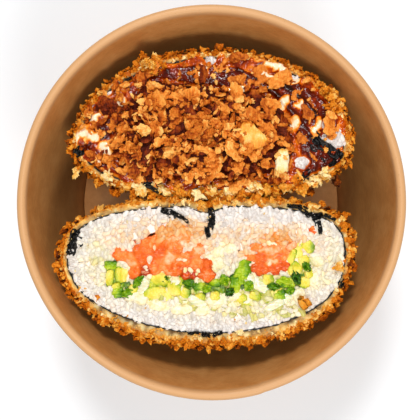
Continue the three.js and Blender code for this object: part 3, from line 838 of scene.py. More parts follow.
def crust(half, cut, material):
    """The crust's body, made craggy from its solid, and the loose-looking crumbs fried on to it."""
    body = copy_of_node(f"{half}_crust", f"{half}_crust_body")
    apply_modifier(body, "REMESH", mode="VOXEL", voxel_size=CRUST_CELL)
    apply_modifier(body, "SMOOTH", factor=0.6, iterations=6)
    displace(body, "VORONOI", 2.6 * MM, -1.1 * MM, middle=0.4)
    displace(body, "CLOUDS", 1.3 * MM, 0.9 * MM, noise_depth=2)
    nori = surface_of(f"{half}_nori")
    seed = len(half)
    chance = np.random.default_rng(seed)
    # The body is browned more than its crumbs, 0.5 against 0.26, as painted shade between the crumbs.
    set_attribute(body, "tone", browning(distance_to(nori, vertices_of(body)), chance, 0.5))
    middle = np.array(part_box(f"{half}_crust")).mean(axis=0)

    def outside(centres, normals):
        """Crumbs go on the outside only, most of them near the cut and on its rim."""
        outwards = ((centres - middle) * normals).sum(axis=1) > 0
        near_cut = 0.2 + 1.3 * np.exp(-(cut - centres[:, 2]) / (9 * MM))
        on_rim = np.where(normals[:, 2] > 0.7, 1.5, 1.0)
        return outwards * near_cut * on_rim

    spots, normals = points_on(body, CRUMBS, 7 + seed, outside)
    apart = distance_to(nori, spots)
    levels = browning(apart, chance, 0.26)
    layer = Scatter([bread_crumb(k) for k in range(CRUMB_SHAPES)])
    turns = random.Random(half)
    for k, (spot, normal) in enumerate(zip(spots, normals)):
        size = turns.choice(CRUMB_SIZES) * MM
        on_cut = normal[2] > 0.7 and cut - spot[2] < 1.5 * MM
        if on_cut:
            size *= 0.6 + 0.3 * min(1.0, apart[k] / BROWNED)
        scale = uneven(turns, size, *CRUMB_STRETCH)
        tone = levels[k] + 0.06 * (not on_cut)
        layer.add(k, spot + normal * size * 0.18, turn_matrix(turns), scale, tone=tone)
    finish_piece(body, material, "crust", f"{half}_crust")
    loose = layer.build(f"{half}_crust_crumbs", material, "crust", f"{half}_crust")
    shade_gaps([body, loose], reach=2.0 * MM, amount=0.5)


# Larger fried clumps on each half's edge: x, y, z of the middle, width in mm, and tone.
FRONT_CLUMPS = [
    (-58.0, -17.4, 64.6, 5.2, 0.34), (-59.0, -23.6, 63.6, 4.8, 0.4), (-56.0, -10.4, 64.6, 4.0, 0.4),
    (54.8, -22.4, 64.4, 5.0, 0.35), (55.4, -13.0, 64.0, 5.0, 0.3), (52.6, -5.6, 64.8, 4.4, 0.45),
    (50.6, -24.8, 66.4, 5.4, 0.12), (10.0, -51.6, 65.2, 6.0, 0.0), (-3.4, -53.6, 64.0, 5.0, 0.4),
    (16.0, -53.0, 64.0, 5.4, 0.45), (-20.0, -51.4, 64.4, 4.6, 0.3), (28.0, -51.0, 64.2, 4.8, 0.25),
    (-34.0, -44.6, 64.4, 5.0, 0.4), (-44.0, -38.4, 64.6, 4.4, 0.45), (42.0, -43.6, 64.6, 4.6, 0.35),
    (20.0, -0.2, 64.4, 4.6, 0.4), (-18.0, 0.4, 64.6, 4.2, 0.3), (-30.0, -0.2, 64.4, 4.6, 0.5),
    (4.4, 0.0, 64.6, 4.4, 0.15), (-8.2, 0.2, 64.6, 4.0, 0.12), (44.0, -1.0, 64.6, 3.8, 0.45),
]
BACK_CLUMPS = [
    (-25.6, 53.6, 65.6, 6.2, 0.24), (-22.6, 56.0, 64.6, 6.0, 0.2), (-26.8, 56.8, 63.8, 5.4, 0.24),
    (-21.4, 52.6, 67.0, 5.4, 0.24), (-24.0, 54.4, 68.0, 5.6, 0.2), (-19.6, 54.8, 65.2, 4.6, 0.3),
    (44.0, 43.0, 65.0, 5.6, 0.28), (48.2, 41.8, 64.2, 5.8, 0.24), (47.0, 38.6, 65.4, 5.2, 0.34),
    (50.4, 37.8, 63.8, 4.8, 0.28), (42.6, 46.4, 63.8, 4.4, 0.36), (44.6, 10.4, 64.0, 7.4, -0.05),
    (40.0, 8.4, 63.8, 6.4, 0.05), (49.6, 8.6, 63.0, 4.2, 0.8), (-28.6, 5.0, 63.8, 7.8, 0.0),
    (-34.6, 6.4, 63.6, 7.0, 0.08), (-23.4, 4.2, 63.4, 7.4, 0.16), (-17.6, 5.0, 63.8, 8.0, 0.0),
    (-11.0, 4.2, 63.6, 7.4, 0.22), (-40.8, 8.4, 63.8, 7.6, 0.08), (-45.6, 9.4, 62.8, 6.0, 0.3),
    (-5.4, 4.6, 63.6, 7.2, 0.05), (0.6, 4.6, 63.8, 7.4, 0.25), (6.4, 4.8, 63.6, 7.4, 0.05),
    (12.4, 4.8, 63.6, 7.0, 0.28), (18.0, 5.0, 63.4, 7.6, 0.1), (23.6, 5.2, 63.6, 7.2, 0.3),
    (29.0, 5.8, 63.6, 7.4, 0.08), (34.6, 6.8, 63.6, 7.0, 0.3), (-20.0, 2.4, 61.0, 6.0, 0.45),
    (-30.0, 2.8, 61.0, 6.0, 0.45), (-9.0, 2.2, 61.0, 6.0, 0.45), (-38.0, 5.0, 61.0, 5.6, 0.45),
    (1.0, 2.4, 60.6, 5.6, 0.5), (11.0, 2.8, 60.8, 5.6, 0.5), (26.0, 3.4, 61.0, 5.6, 0.5),
    (38.0, 5.4, 61.0, 5.6, 0.5), (54.4, 22.6, 62.0, 4.8, 0.3), (53.8, 29.6, 62.0, 4.6, 0.35),
    (-53.4, 12.6, 62.0, 4.6, 0.2), (8.0, 59.4, 62.0, 4.4, 0.6), (-6.4, 58.8, 62.0, 4.4, 0.45),
    (27.6, 55.8, 62.0, 4.2, 0.5),
]


def fried_clumps(name, clumps, material, seed):
    """Knobbly clumps of crumbs, each of three lumps grown together."""
    chance = random.Random(seed)
    layer = Scatter([fried_lump(k) for k in range(20, 26)])
    count = 0
    for x, y, z, across, tone in clumps:
        for _ in range(3):
            at = [value * MM + chance.uniform(-0.26, 0.26) * across * MM for value in (x, y, z)]
            scale = uneven(chance, 0.84 * across * MM, 0.75, 1.2)
            layer.add(count, at, turn_matrix(chance), scale, tone=tone + chance.uniform(-0.1, 0.16))
            count += 1
    piece = layer.build(name, material, "crust")
    shade_gaps([piece], reach=2.6 * MM, amount=0.35)


# ---------- Bands along the cut ----------

RING_POINTS = 640
RING_ROUNDING = 11
NORI_DEPTH = 7 * MM
NORI_THICKNESS = 0.42 * MM
COLLAR_START = 0.25 * MM  # out from the middle of the nori
COLLAR_STEPS = 10
COLLAR_WIDTH = 1.5 * MM
COLLAR_FOOT = 1.6 * MM  # how far down under the cut the collar reaches
COLLAR_CRUMB_SIZES = (0.9, 1.3, 1.7, 2.3, 3.0)  # in mm


def outward(ring):
    """The directions straight out of an outline, at each of its points."""
    ahead = np.roll(ring, -1, axis=0) - np.roll(ring, 1, axis=0)
    across = np.stack([ahead[:, 1], -ahead[:, 0]], axis=1)
    return across / np.linalg.norm(across, axis=1)[:, None]


def ring_band(name, rows):
    """A closed band round an outline: rows of points, one behind the other round the band's section."""
    count = len(rows[0])
    faces = []
    for r in range(len(rows)):
        after = (r + 1) % len(rows)
        for k in range(count):
            j = (k + 1) % count
            faces.append((r * count + k, r * count + j, after * count + j, after * count + k))
    mesh = bpy.data.meshes.new(name)
    mesh.from_pydata([tuple(point) for row in rows for point in row], [], faces)
    piece = new_object(name, mesh)
    edit_all(piece, bpy.ops.mesh.normals_make_consistent, inside=False)
    smooth(piece)
    return piece


def nori_edge(name, ring, cut, material):
    """The sheet's cut edge: a ribbon round the rice, its upper edge waving a little."""
    outwards = outward(ring)
    # How far out each line of the ribbon's section is, in thicknesses, and its height over the cut.
    section = (
        (0.5, -NORI_DEPTH), (0.5, -NORI_DEPTH / 2), (0.5, 0.15 * MM), (0.1, 0.35 * MM), (-0.4, 0.25 * MM),
        (-0.5, -NORI_DEPTH / 2), (-0.5, -NORI_DEPTH),
    )
    rows = []
    for side, height in section:
        row = []
        for (x, y), (u, v) in zip(ring, outwards):
            thickness = NORI_THICKNESS * (1.1 + 1.3 * ripple(x, y, 1, 5 * MM))
            out = side * thickness + 0.25 * MM * ripple(x, y, 0, 3.4 * MM)
            top = cut + height
            if height > 0:
                top += 0.3 * MM * ripple(x, y, 3, 2.4 * MM)
            row.append((x + u * out, y + v * out, top))
        rows.append(row)
    finish_piece(ring_band(name, rows), material, "nori")


def batter_collar(name, ring, cut, material, width):
    """The lumpy batter between nori and crumbs, along the cut, with its width at each point of the ring."""
    outwards = outward(ring)
    rows = []
    for step in range(COLLAR_STEPS + 1):
        across = step / COLLAR_STEPS
        crown = 0.45 * min(1.0, 4 * across) - 0.5 * max(0.0, across - 0.6)
        row = []
        for (x, y), (u, v), wide in zip(ring, outwards, width):
            ragged = 0.5 * MM * ripple(x, y, 2, 2.2 * MM)
            out = COLLAR_START + across * wide + ragged * (1 - across)
            x, y = x + u * out, y + v * out
            bumps = ripple(x, y, 4, 1.7 * MM) + 0.6 * ripple(x, y, 4, 0.8 * MM)
            row.append((x, y, cut + (crown + 0.6 * bumps) * MM))
        rows.append(row)
    for across in (1.0, 0.0):
        shifted = ring + outwards * (COLLAR_START + across * width[:, None])
        rows.append([(x, y, cut - COLLAR_FOOT) for x, y in shifted])
    piece = ring_band(name, rows)
    steps = np.minimum(np.arange(len(rows)), COLLAR_STEPS) / COLLAR_STEPS
    across = np.repeat(steps, len(ring))
    lumps = np.array([ripple(*place, size=2.4 * MM) for place in vertices_of(piece)])
    set_attribute(piece, "tone", 0.16 + 0.2 * across ** 2 + 0.3 * lumps)
    # The grey-brown share next to the nori is partly the nori showing through the batter and partly painted
    # shade.
    set_attribute(piece, "damp", np.clip(1.05 - 1.1 * across + 0.8 * lumps, 0, 1))
    finish_piece(piece, material, "crust")


def collar_crumbs(half, ring, cut, material, width, count, seed):
    """Crumbs on the collar, thicker and browner towards its outside."""
    chance = random.Random(seed)
    outwards = outward(ring)
    layer = Scatter([bread_crumb(k) for k in range(CRUMB_SHAPES)])
    for k, index in enumerate(chance.choices(range(len(ring)), list(width), k=count)):
        across = 0.1 + 1.1 * chance.random() ** 0.65
        x, y = ring[index] + outwards[index] * (0.3 * MM + across * width[index])
        size = chance.choice(COLLAR_CRUMB_SIZES) * MM * (0.55 + 0.5 * across)
        scale = uneven(chance, size, *CRUMB_STRETCH)
        tone = 0.1 + 0.3 * across + chance.uniform(-0.16, 0.24)
        place = (x, y, cut + chance.uniform(-0.1, 0.5) * MM)
        layer.add(k, place, turn_matrix(chance), scale, tone=tone)
    layer.build(f"{half}_collar_crumbs", material, "crust", f"{half}_crust")


def cut_bands(half, ring, cut, width, materials, crumbs, seed):
    """What lies between rice and crust along a half's cut: nori, batter, and crumbs on the batter."""
    nori_edge(f"{half}_nori_edge", ring, cut, materials["nori"])
    batter_collar(f"{half}_batter_collar", ring, cut, materials["crust"], width)
    collar_crumbs(half, ring, cut, materials["crust"], width, crumbs, seed)


# ---------- Crumpled sheets ----------

def crumpled(name, at, size, turn, cuts, thickness, shape):
    """A small crumpled sheet. shape gives a point's place from how far along and across the sheet it is."""
    piece = new_primitive(
        bpy.ops.mesh.primitive_grid_add, name, (size[0], size[1], 1),
        x_subdivisions=cuts[0], y_subdivisions=cuts[1], size=1,
    )
    bpy.ops.object.mode_set(mode="OBJECT")
    for vertex in piece.data.vertices:
        vertex.co = shape(vertex.co.x / size[0], vertex.co.y / size[1])
    apply_modifier(piece, "SOLIDIFY", thickness=thickness, offset=0)
    apply_modifier(piece, "SUBSURF", levels=1, render_levels=1)
    piece.data.transform(Matrix.Translation(at) @ Matrix.Rotation(turn, 4, "Z"))
    smooth(piece)
    return piece


# Loose ends of the nori sheet on the cut faces: x, y, length, width in mm, and turn.
FRONT_NORI_CRUMPLES = [
    (-53.6, -12.9, 5.0, 3.4, 1.25), (-54.6, -18.2, 5.0, 3.8, 1.4), (0.2, -4.4, 4.8, 2.5, 1.75),
    (0.2, -8.2, 4.8, 2.6, 1.4), (-1.4, -11.6, 4.6, 1.9, 1.8), (-17.2, -3.6, 5.0, 2.4, -0.15),
    (-13.4, -4.9, 4.6, 1.8, -0.5), (-10.2, -6.8, 3.6, 1.2, -0.75), (32.6, -1.6, 6.0, 1.8, -0.1),
    (36.8, -3.4, 6.0, 2.6, -0.7), (42.6, -9.8, 5.2, 1.7, 1.75), (41.6, -5.4, 4.6, 2.6, 0.3),
    (46.6, -5.8, 5.0, 1.5, -0.5), (51.4, -31.8, 4.0, 1.5, 1.1), (-7.0, -51.2, 4.4, 1.2, 0.1),
    (-2.0, -51.9, 3.6, 1.9, -0.3), (2.6, -51.4, 4.0, 1.6, 0.35),
]
BACK_NORI_CRUMPLES = [
    (44.4, 20.4, 12.0, 7.0, -0.7), (41.4, 25.4, 6.4, 3.4, 1.9), (48.6, 17.4, 7.6, 4.4, 0.7),
    (-52.2, 20.0, 4.4, 3.6, 0.9), (-22.6, 6.0, 12.0, 3.4, -0.45), (36.6, 10.8, 6.0, 2.6, 0.6),
]


def nori_crumples(name, height, crumples, material):
    """Loose ends of the sheet, crumpled up, with their middles at a height."""
    for k, (x, y, length, width, turn) in enumerate(crumples):
        size = (length * MM, width * MM)
        seed = k + 2

        def shape(along, across):
            fold = ripple(3.1 * along, 4.5 * across, seed) + 0.5 * ripple(8 * along, 9 * across, seed)
            narrowing = 1 - 0.35 * abs(2 * along) ** 4
            return (
                size[0] * (along + 0.1 * ripple(4 * along, 5 * across, seed + 9)),
                size[1] * (across * narrowing + 0.16 * ripple(5 * along, 3 * across, seed + 4)),
                2.0 * MM * (1.1 * fold + 0.25),
            )

        at = (x * MM, y * MM, height)
        piece = crumpled(f"{name}_{k}", at, size, turn, cuts=(26, 16), thickness=0.35 * MM, shape=shape)
        finish_piece(piece, material, "nori")


def crumpled_leaf(at, size, turn, seed, tone):
    """A torn bit of leaf, crumpled, with its middle at a place. It is paler where it stands up and darker
    lower down: painted light and painted shade.
    """
    def shape(along, across):
        fold = ripple(3 * along, 4 * across, seed) + 0.6 * ripple(7 * along, 8 * across, seed)
        ragged = 1 + 0.5 * ripple(6 * along, 6 * across, seed + 3)
        return (
            size[0] * along * (1 - 0.5 * abs(2 * across) ** 3) * ragged,
            size[1] * across * (1 - 0.5 * abs(2 * along) ** 3) * ragged,
            1.6 * MM * fold,
        )

    piece = crumpled("bit_leaf", at, size, turn, cuts=(14, 10), thickness=0.4 * MM, shape=shape)
    # Paler where it rises: painted light on the raised folds, painted shade in the low ones.
    rise = (vertices_of(piece)[:, 2] - at[2]) / MM
    set_attribute(piece, "tone", np.clip(tone - 0.16 * rise, 0, 1))
    return piece


# ---------- Rice ----------

RICE_CELL = 1.2 * MM
GRAIN = 5.5 * MM
GRAIN_LENGTHS = (0.55, 0.65, 0.75, 0.85, 1.0, 1.15)  # as shares of GRAIN
GRAIN_SHAPES = 4
GRAIN_TILTS = (0.15, 0.3, 0.5, 0.9)
EDGE_GRAINS = 110
EDGE_INSET = 1.3 * MM  # how far in from the outline the grains on the edge lie
EDGE_MARGIN = 1.1 * MM  # and how far in the others start
GRAIN_TRIES = 16000


def flatten_above(piece, height, keep):
    """Presses down what stands above a height, as the knife left it. keep is the share of it that stays."""
    for vertex in piece.data.vertices:
        if vertex.co.z > height:
            vertex.co.z = height + keep * (vertex.co.z - height)


def rice_core(half, top, material):
    """The rice's body with the bumps of packed grains, and next to nothing of it above top."""
    core = copy_of_node(f"{half}_rice", f"{half}_rice_core")
    apply_modifier(core, "REMESH", mode="VOXEL", voxel_size=RICE_CELL)
    displace(core, "VORONOI", 3.0 * MM, -0.9 * MM, middle=0.4)
    flatten_above(core, top, keep=0.1)
    for name, value in (("tone", 0.6), ("stain", 0.0), ("cream", 0.0)):
        set_attribute(core, name, np.full(len(core.data.vertices), value))
    finish_piece(core, material, "rice", f"{half}_rice")


def lay_grains(half, cut, outline, material, count, seed, sink, open_here, stain, cream):
    """Grains packed in the cut face, sunk into it. open_here says whether one may lie at x, y."""
    chance = random.Random(seed)
    grains = Scatter([rice_grain(k) for k in range(GRAIN_SHAPES)], smooth=True)
    (left, near), (right, far) = outline.ring.min(axis=0), outline.ring.max(axis=0)
    edge_spots = [tuple(point) for point in outline.ring[::len(outline.ring) // EDGE_GRAINS]]
    tries = [(chance.uniform(left, right), chance.uniform(near, far)) for _ in range(GRAIN_TRIES)]
    laid = 0
    for k, (x, y) in enumerate(edge_spots + tries):
        if laid == count:
            break
        length = GRAIN * chance.choice(GRAIN_LENGTHS)
        girth = GRAIN * chance.uniform(0.85, 1.1)
        on_edge = k < len(edge_spots)
        if on_edge:
            inwards = outline.middle - (x, y)
            x, y = np.array((x, y)) + inwards / np.linalg.norm(inwards) * EDGE_INSET
        if (not on_edge and outline.depth(x, y) < EDGE_MARGIN) or not open_here(x, y):
            continue
        tilt = chance.choice(GRAIN_TILTS)
        lift = chance.uniform(-0.55, 0.05) * MM - sink - 0.12 * length * math.sin(tilt)
        grains.add(
            laid, (x, y, cut + lift), turn_matrix(chance, tilt), (length, girth, girth),
            tone=chance.random(), stain=stain(x, y, chance), cream=cream(x, y, chance),
        )
        laid += 1
    piece = grains.build(f"{half}_grains", material, "rice", f"{half}_rice")
    flatten_above(piece, cut + 0.45 * MM, keep=0.3)


# ---------- Filling of the front half ----------

SALMON_CELL = 0.45 * MM
SALMON_MELT = 1.7 * MM  # how far a dice's shade reaches out from its middle
SOFT_CELL = 0.7 * MM  # of the cream cheese and of the onions' core
GAP_DEPTH = 1.6 * MM  # how far down the gaps between pieces their painted shade grows to its darkest


def soft_lump(name, at, size, seed, turn, square, rough, tilt=0.25):
    """A soft piece with uneven faces: square runs from a ball, 0, to a block, 1."""
    chance = random.Random(seed)
    piece = new_primitive(bpy.ops.mesh.primitive_cube_add, name, (1, 1, 1), size=1)
    bpy.ops.mesh.subdivide(number_cuts=3)
    bpy.ops.transform.vertex_random(offset=rough * 0.5, seed=seed)
    bpy.ops.object.mode_set(mode="OBJECT")
    apply_modifier(piece, "CAST", cast_type="SPHERE", factor=1 - square, use_x=True, use_y=True, use_z=True)
    apply_modifier(piece, "SUBSURF", levels=2, render_levels=2)
    lean = Euler((chance.uniform(-tilt, tilt), chance.uniform(-tilt, tilt), turn)).to_matrix().to_4x4()
    piece.data.transform(Matrix.Translation(at) @ lean @ Matrix.Diagonal((*size, 1)))
    displace(piece, "CLOUDS", 0.3 * min(size), rough * 0.9 * min(size), noise_depth=1)
    smooth(piece)
    return piece


def sunk(places, top):
    """How far down in the gaps each point lies, for painted shade: 0 at top and above, 1 from GAP_DEPTH below
    it.
    """
    return np.clip((top - places[:, 2]) / GAP_DEPTH, 0, 1)


# Diced salmon on the cut face: x, y, length, width in mm, turn, and shade from deep, 0, to pale, 1.
SALMON_LEFT = [
    (-35.4, -19.8, 7.4, 6.0, 0.3, 0.62), (-31.6, -22.4, 5.4, 6.4, 0.9, 0.9),
    (-28.0, -21.0, 4.6, 8.8, 0.3, 0.3), (-23.6, -15.6, 8.4, 4.4, 0.2, 0.75),
    (-15.6, -17.4, 9.6, 4.2, -0.3, 0.5), (-9.8, -13.6, 7.4, 4.2, -0.2, 0.9),
    (-21.6, -25.4, 7.0, 5.6, 0.5, 0.62), (-14.6, -25.8, 8.2, 6.2, -0.2, 0.4),
    (-6.4, -23.6, 7.6, 6.4, 0.1, 0.55), (-1.6, -28.4, 5.6, 6.0, 0.7, 0.3),
    (-8.6, -29.2, 6.4, 4.4, 0.0, 0.15), (-19.6, -20.6, 6.6, 4.6, 0.9, 0.3),
    (-30.2, -27.4, 4.2, 5.0, 0.4, 0.5), (-11.4, -20.8, 7.6, 3.6, 0.1, 0.7),
    (-4.6, -19.0, 5.0, 4.0, 0.6, 0.85), (-26.2, -27.4, 4.6, 3.8, 0.2, 0.1),
    (-16.8, -21.6, 4.6, 3.4, -0.6, 0.9), (-1.4, -24.2, 3.8, 4.4, 0.4, 0.25),
    (-14.4, -14.0, 5.6, 3.4, 0.5, 0.95), (-25.0, -19.4, 4.4, 3.6, 0.1, 0.45),
]
SALMON_RIGHT = [
    (14.6, -21.4, 4.6, 5.4, 0.3, 0.75), (18.8, -25.8, 8.0, 5.4, -0.5, 0.2),
    (19.4, -21.8, 4.6, 4.6, 0.4, 0.35), (25.4, -26.2, 5.8, 4.6, 0.3, 0.25),
    (23.6, -18.8, 7.4, 4.2, 0.3, 0.85), (28.6, -20.6, 4.8, 5.8, 0.7, 0.75),
    (28.8, -25.2, 4.6, 4.4, -0.3, 0.15), (17.8, -17.6, 4.8, 3.4, -0.2, 0.7),
    (23.8, -22.6, 7.0, 2.2, -0.5, 1.0), (31.4, -17.2, 4.4, 3.2, 0.6, 0.95),
    (40.2, -10.8, 3.6, 4.8, 0.5, 0.55),
]


def salmon(side, dice, material, seed):
    """The layer's solid and the dice in its cut face, melted together at their edges."""
    node = f"front_salmon_{side}"
    pieces = [copy_of_node(node, f"salmon_{side}")]
    for k, (x, y, length, width, turn, _) in enumerate(dice):
        high = min(length, width) * MM
        lift = (0.3 + 1.5 * staggered(k, 7, 5)) * MM
        at = (x * MM, y * MM, FRONT_CUT + lift - high / 2)
        size = (length * MM, width * MM, high)
        pieces.append(soft_lump("salmon_dice", at, size, seed + k, turn, square=0.4, rough=0.26))
    piece = joined(f"salmon_{side}", pieces)
    apply_modifier(piece, "REMESH", mode="VOXEL", voxel_size=SALMON_CELL)
    apply_modifier(piece, "SMOOTH", factor=0.5, iterations=2)
    displace(piece, "VORONOI", 2.6 * MM, -1.1 * MM, middle=0.3)
    displace(piece, "CLOUDS", 1.1 * MM, 0.8 * MM, noise_depth=2)
    places = vertices_of(piece)
    middles = np.array([(x * MM, y * MM) for x, y, *_ in dice])
    shades = np.array([shade for *_, shade in dice])
    apart = ((places[:, None, :2] - middles[None]) ** 2).sum(axis=2)
    near = np.exp(-apart / SALMON_MELT ** 2)
    far_weight = 1e-6  # what lies far from every dice takes the shade 0.3
    shade = (near @ shades + far_weight * 0.3) / (near.sum(axis=1) + far_weight)
    # Lowering the tone in the gaps is painted shade.
    set_attribute(piece, "tone", shade - 0.4 * sunk(places, FRONT_CUT + 0.9 * MM))
    smooth(piece)
    finish_piece(piece, material, "salmon", node)


PIECE_LIFT = 0.9 * MM  # how far a piece of the filling stands out of the cut


def piece_of_node(node, material, slot, seed, square, rough, grow, skin):
    """A soft piece in the place of a CAD node. Its tone rises towards the angle skin, and in the gaps as
    painted shade.
    """
    low, high = [Vector(corner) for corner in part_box(node)]
    size = (high - low) * grow
    depth = min(size.x, size.y) * 1.1
    at = Vector(((low.x + high.x) / 2, (low.y + high.y) / 2, FRONT_CUT + PIECE_LIFT - depth / 2))
    lump = soft_lump(f"{node}_piece", at, (size.x, size.y, depth), seed, turn=0.0, square=square, rough=rough)
    places = vertices_of(lump)
    towards_skin = np.array((math.cos(skin), math.sin(skin), 0))
    along = (places - np.array(at)) @ towards_skin / (max(size.x, size.y) / 2)
    gaps = sunk(places, FRONT_CUT + PIECE_LIFT - 0.4 * MM)
    set_attribute(lump, "tone", np.clip(0.42 + 0.45 * along, 0, 1) + 0.5 * gaps)
    finish_piece(lump, material, slot, node)


# Mashed avocado under the pieces of the filling: x, y, length, width in mm, turn, and greenness.
MASH = [
    (-38.6, -28.6, 7.6, 11.0, 0.1, 0.8), (-33.4, -33.0, 7.0, 6.6, 0.3, 0.95),
    (-23.0, -34.6, 10.0, 10.6, 0.3, 0.62), (-14.6, -33.4, 10.4, 10.4, 0.0, 0.7),
    (-5.6, -34.6, 11.0, 8.4, -0.1, 0.85), (3.6, -34.0, 11.0, 8.4, 0.1, 0.9),
    (10.8, -32.4, 9.0, 9.0, 0.2, 1.0), (19.4, -32.8, 9.4, 8.0, 0.1, 0.8),
    (28.0, -33.0, 10.0, 9.0, 0.2, 0.85), (34.6, -28.6, 8.4, 9.4, 0.3, 0.9),
    (36.0, -20.6, 8.0, 10.4, 0.2, 0.55), (13.4, -38.2, 13.0, 5.0, 0.0, 0.6),
    (-6.0, -39.6, 12.0, 5.0, -0.1, 0.6), (23.6, -38.0, 10.0, 4.4, 0.2, 0.65),
]


def mash(material):
    """The bed of the filling, with a soft craggy top."""
    pieces = []
    high = 5 * MM
    for k, (x, y, length, width, turn, tone) in enumerate(MASH):
        at = (x * MM, y * MM, FRONT_CUT - 0.3 * MM - high / 2)
        size = (length * MM, width * MM, high)
        lump = soft_lump("mash_part", at, size, 140 + k, turn, square=0.35, rough=0.2, tilt=0.05)
        set_attribute(lump, "tone", np.full(len(lump.data.vertices), tone))
        pieces.append(lump)
    piece = joined("avocado_mash", pieces)
    displace(piece, "CLOUDS", 1.4 * MM, 1.8 * MM, noise_depth=2)
    finish_piece(piece, material, "avocado")


def cream_bed(name, material):
    bed = copy_of_node(f"front_{name}", f"{name}_bed")
    apply_modifier(bed, "REMESH", mode="VOXEL", voxel_size=SOFT_CELL)
    displace(bed, "CLOUDS", 2.5 * MM, 1.6 * MM, noise_depth=2)
    finish_piece(bed, material, "cream", f"front_{name}")


# What lies loose between the larger pieces: x, y, length, width in mm, and turn.
FILLING_BITS = {
    "avocado": [
        (-16.4, -36.6, 4.4, 3.8, 0.3), (-10.2, -35.6, 4.6, 3.8, -0.4), (-4.6, -37.4, 4.4, 3.0, 0.5),
        (1.6, -36.8, 3.8, 3.2, 0.1), (34.0, -19.6, 5.4, 4.8, 0.2), (38.4, -17.4, 4.8, 5.0, 0.8),
        (31.6, -21.6, 2.6, 6.4, -0.4), (36.4, -22.8, 4.0, 3.4, 0.4), (25.6, -34.6, 4.6, 3.0, 0.4),
        (17.2, -36.8, 4.4, 3.0, -0.3), (12.0, -37.6, 4.0, 2.8, 0.2), (-30.4, -33.8, 3.6, 3.0, 0.7),
        (-19.2, -35.2, 3.4, 3.6, 0.2), (-12.6, -31.2, 3.6, 3.0, 0.5), (-37.2, -33.0, 3.2, 2.6, 0.4),
        (38.2, -27.8, 3.0, 3.6, 0.2),
    ],
    "leaf": [
        (-8.6, -31.8, 5.4, 3.6, -0.3), (5.2, -30.4, 4.0, 5.0, 0.5), (33.4, -29.4, 3.6, 5.8, 0.4),
        (-28.6, -31.0, 6.2, 3.0, 0.9), (11.6, -28.8, 5.6, 7.4, 0.2), (24.4, -33.0, 5.0, 3.2, -0.2),
        (-1.8, -33.8, 3.8, 3.2, 0.4), (7.2, -35.0, 4.2, 3.4, 0.8), (-32.8, -35.6, 5.0, 3.6, 0.3),
        (28.6, -31.0, 6.4, 4.0, -0.1), (37.4, -25.2, 3.2, 4.8, 0.6), (14.6, -32.6, 4.8, 4.2, 1.0),
        (-18.6, -30.0, 4.0, 3.0, 0.2), (31.0, -34.6, 4.0, 3.0, 0.4),
    ],
    "onion": [
        (-27.0, -33.6, 4.2, 9.0, -0.35), (-5.4, -39.0, 7.4, 3.2, -0.5), (19.6, -32.6, 8.4, 5.4, -0.5),
        (30.6, -36.2, 3.0, 7.6, -0.5), (24.8, -40.2, 8.4, 3.0, 0.5), (15.0, -30.4, 4.0, 4.0, 0.3),
    ],
    "cream": [
        (3.0, -19.6, 6.4, 5.0, 0.2), (7.4, -18.4, 5.4, 4.6, 0.6), (-0.4, -22.2, 4.0, 3.6, 0.1),
        (-14.0, -30.8, 3.6, 3.6, 0.4), (24.6, -17.0, 6.4, 2.4, -0.5), (-20.6, -40.6, 9.4, 4.2, -0.15),
        (-11.6, -42.0, 8.0, 3.8, 0.1), (-3.0, -42.4, 5.6, 3.4, 0.2), (3.4, -38.4, 9.4, 5.6, 0.25),
        (9.4, -36.4, 6.4, 4.4, 0.5), (-28.6, -37.4, 7.4, 4.6, -0.4), (34.6, -36.2, 4.6, 5.2, 0.2),
        (40.6, -29.8, 4.4, 5.8, -0.2), (41.8, -22.6, 4.4, 5.4, 0.3), (-31.6, -36.8, 4.4, 3.6, 0.2),
        (2.6, -24.0, 5.2, 4.6, 0.4),
    ],
}
# Each kind's material, slot, and how square and rough its lumps are. Leaves are crumpled sheets instead.
BIT_KINDS = {
    "avocado": ("avocado", "avocado", 0.4, 0.26), "leaf": ("leaf", "green", None, None),
    "onion": ("raw_onion", "cream", 0.45, 0.16), "cream": ("cream", "cream", 0.25, 0.34),
}


def filling_bits(materials):
    number = 0
    for kind, (material, slot, square, rough) in BIT_KINDS.items():
        pieces = []
        for x, y, length, width, turn in FILLING_BITS[kind]:
            high = 0.8 * min(length, width) * MM
            size = (length * MM, width * MM, high)
            lift = (0.45 + 0.7 * staggered(number, 5, 4)) * MM
            if kind == "leaf":
                at = Vector((x * MM, y * MM, FRONT_CUT + 0.5 * MM + lift))
                tone = 0.35 + 0.55 * staggered(number, 3, 5)
                pieces.append(crumpled_leaf(at, size, turn, 3 * number, tone))
            else:
                at = (x * MM, y * MM, FRONT_CUT + lift - high / 2)
                lump = soft_lump(f"bit_{kind}", at, size, 40 + number, turn, square, rough)
                places = vertices_of(lump)
                along = (places[:, 0] - x * MM) / (length * MM) + 0.35 * (2 * staggered(number, 3, 4) - 1)
                # The tone raised in the gaps is painted shade.
                gaps = sunk(places, FRONT_CUT + lift - 0.4 * MM)
                set_attribute(lump, "tone", np.clip(0.38 + 0.55 * along, 0, 1) + 0.5 * gaps)
                pieces.append(lump)
            number += 1
        finish_piece(joined(f"filling_{kind}_bits", pieces), materials[material], slot)


# ---------- Where the front grains lie, and what colours them ----------

FRONT_GRAINS = 1600
GRAINS_ON_MASH = 0.3  # share of the tries that stay there
GRAINS_ON_SALMON = 0.03
# Ellipses on the cut face: middle and reach in mm. SMEAR is the creamy streak under the filling.
SMEAR = ((20, -41), (19, 5))
CREAMY_AREAS = (((1, -30), (52, 17)), ((-40, -22), (14, 15)), ((42, -22), (12, 15)))
STAINED_AREAS = (((-16, -15), (28, 10)), ((22, -16), (24, 9)))
SOAKED_AREAS = (((-13, -12.5), (13, 7)), ((27, -15), (9, 5)))
STAIN_END = -26 * MM  # nothing nearer than this is stained


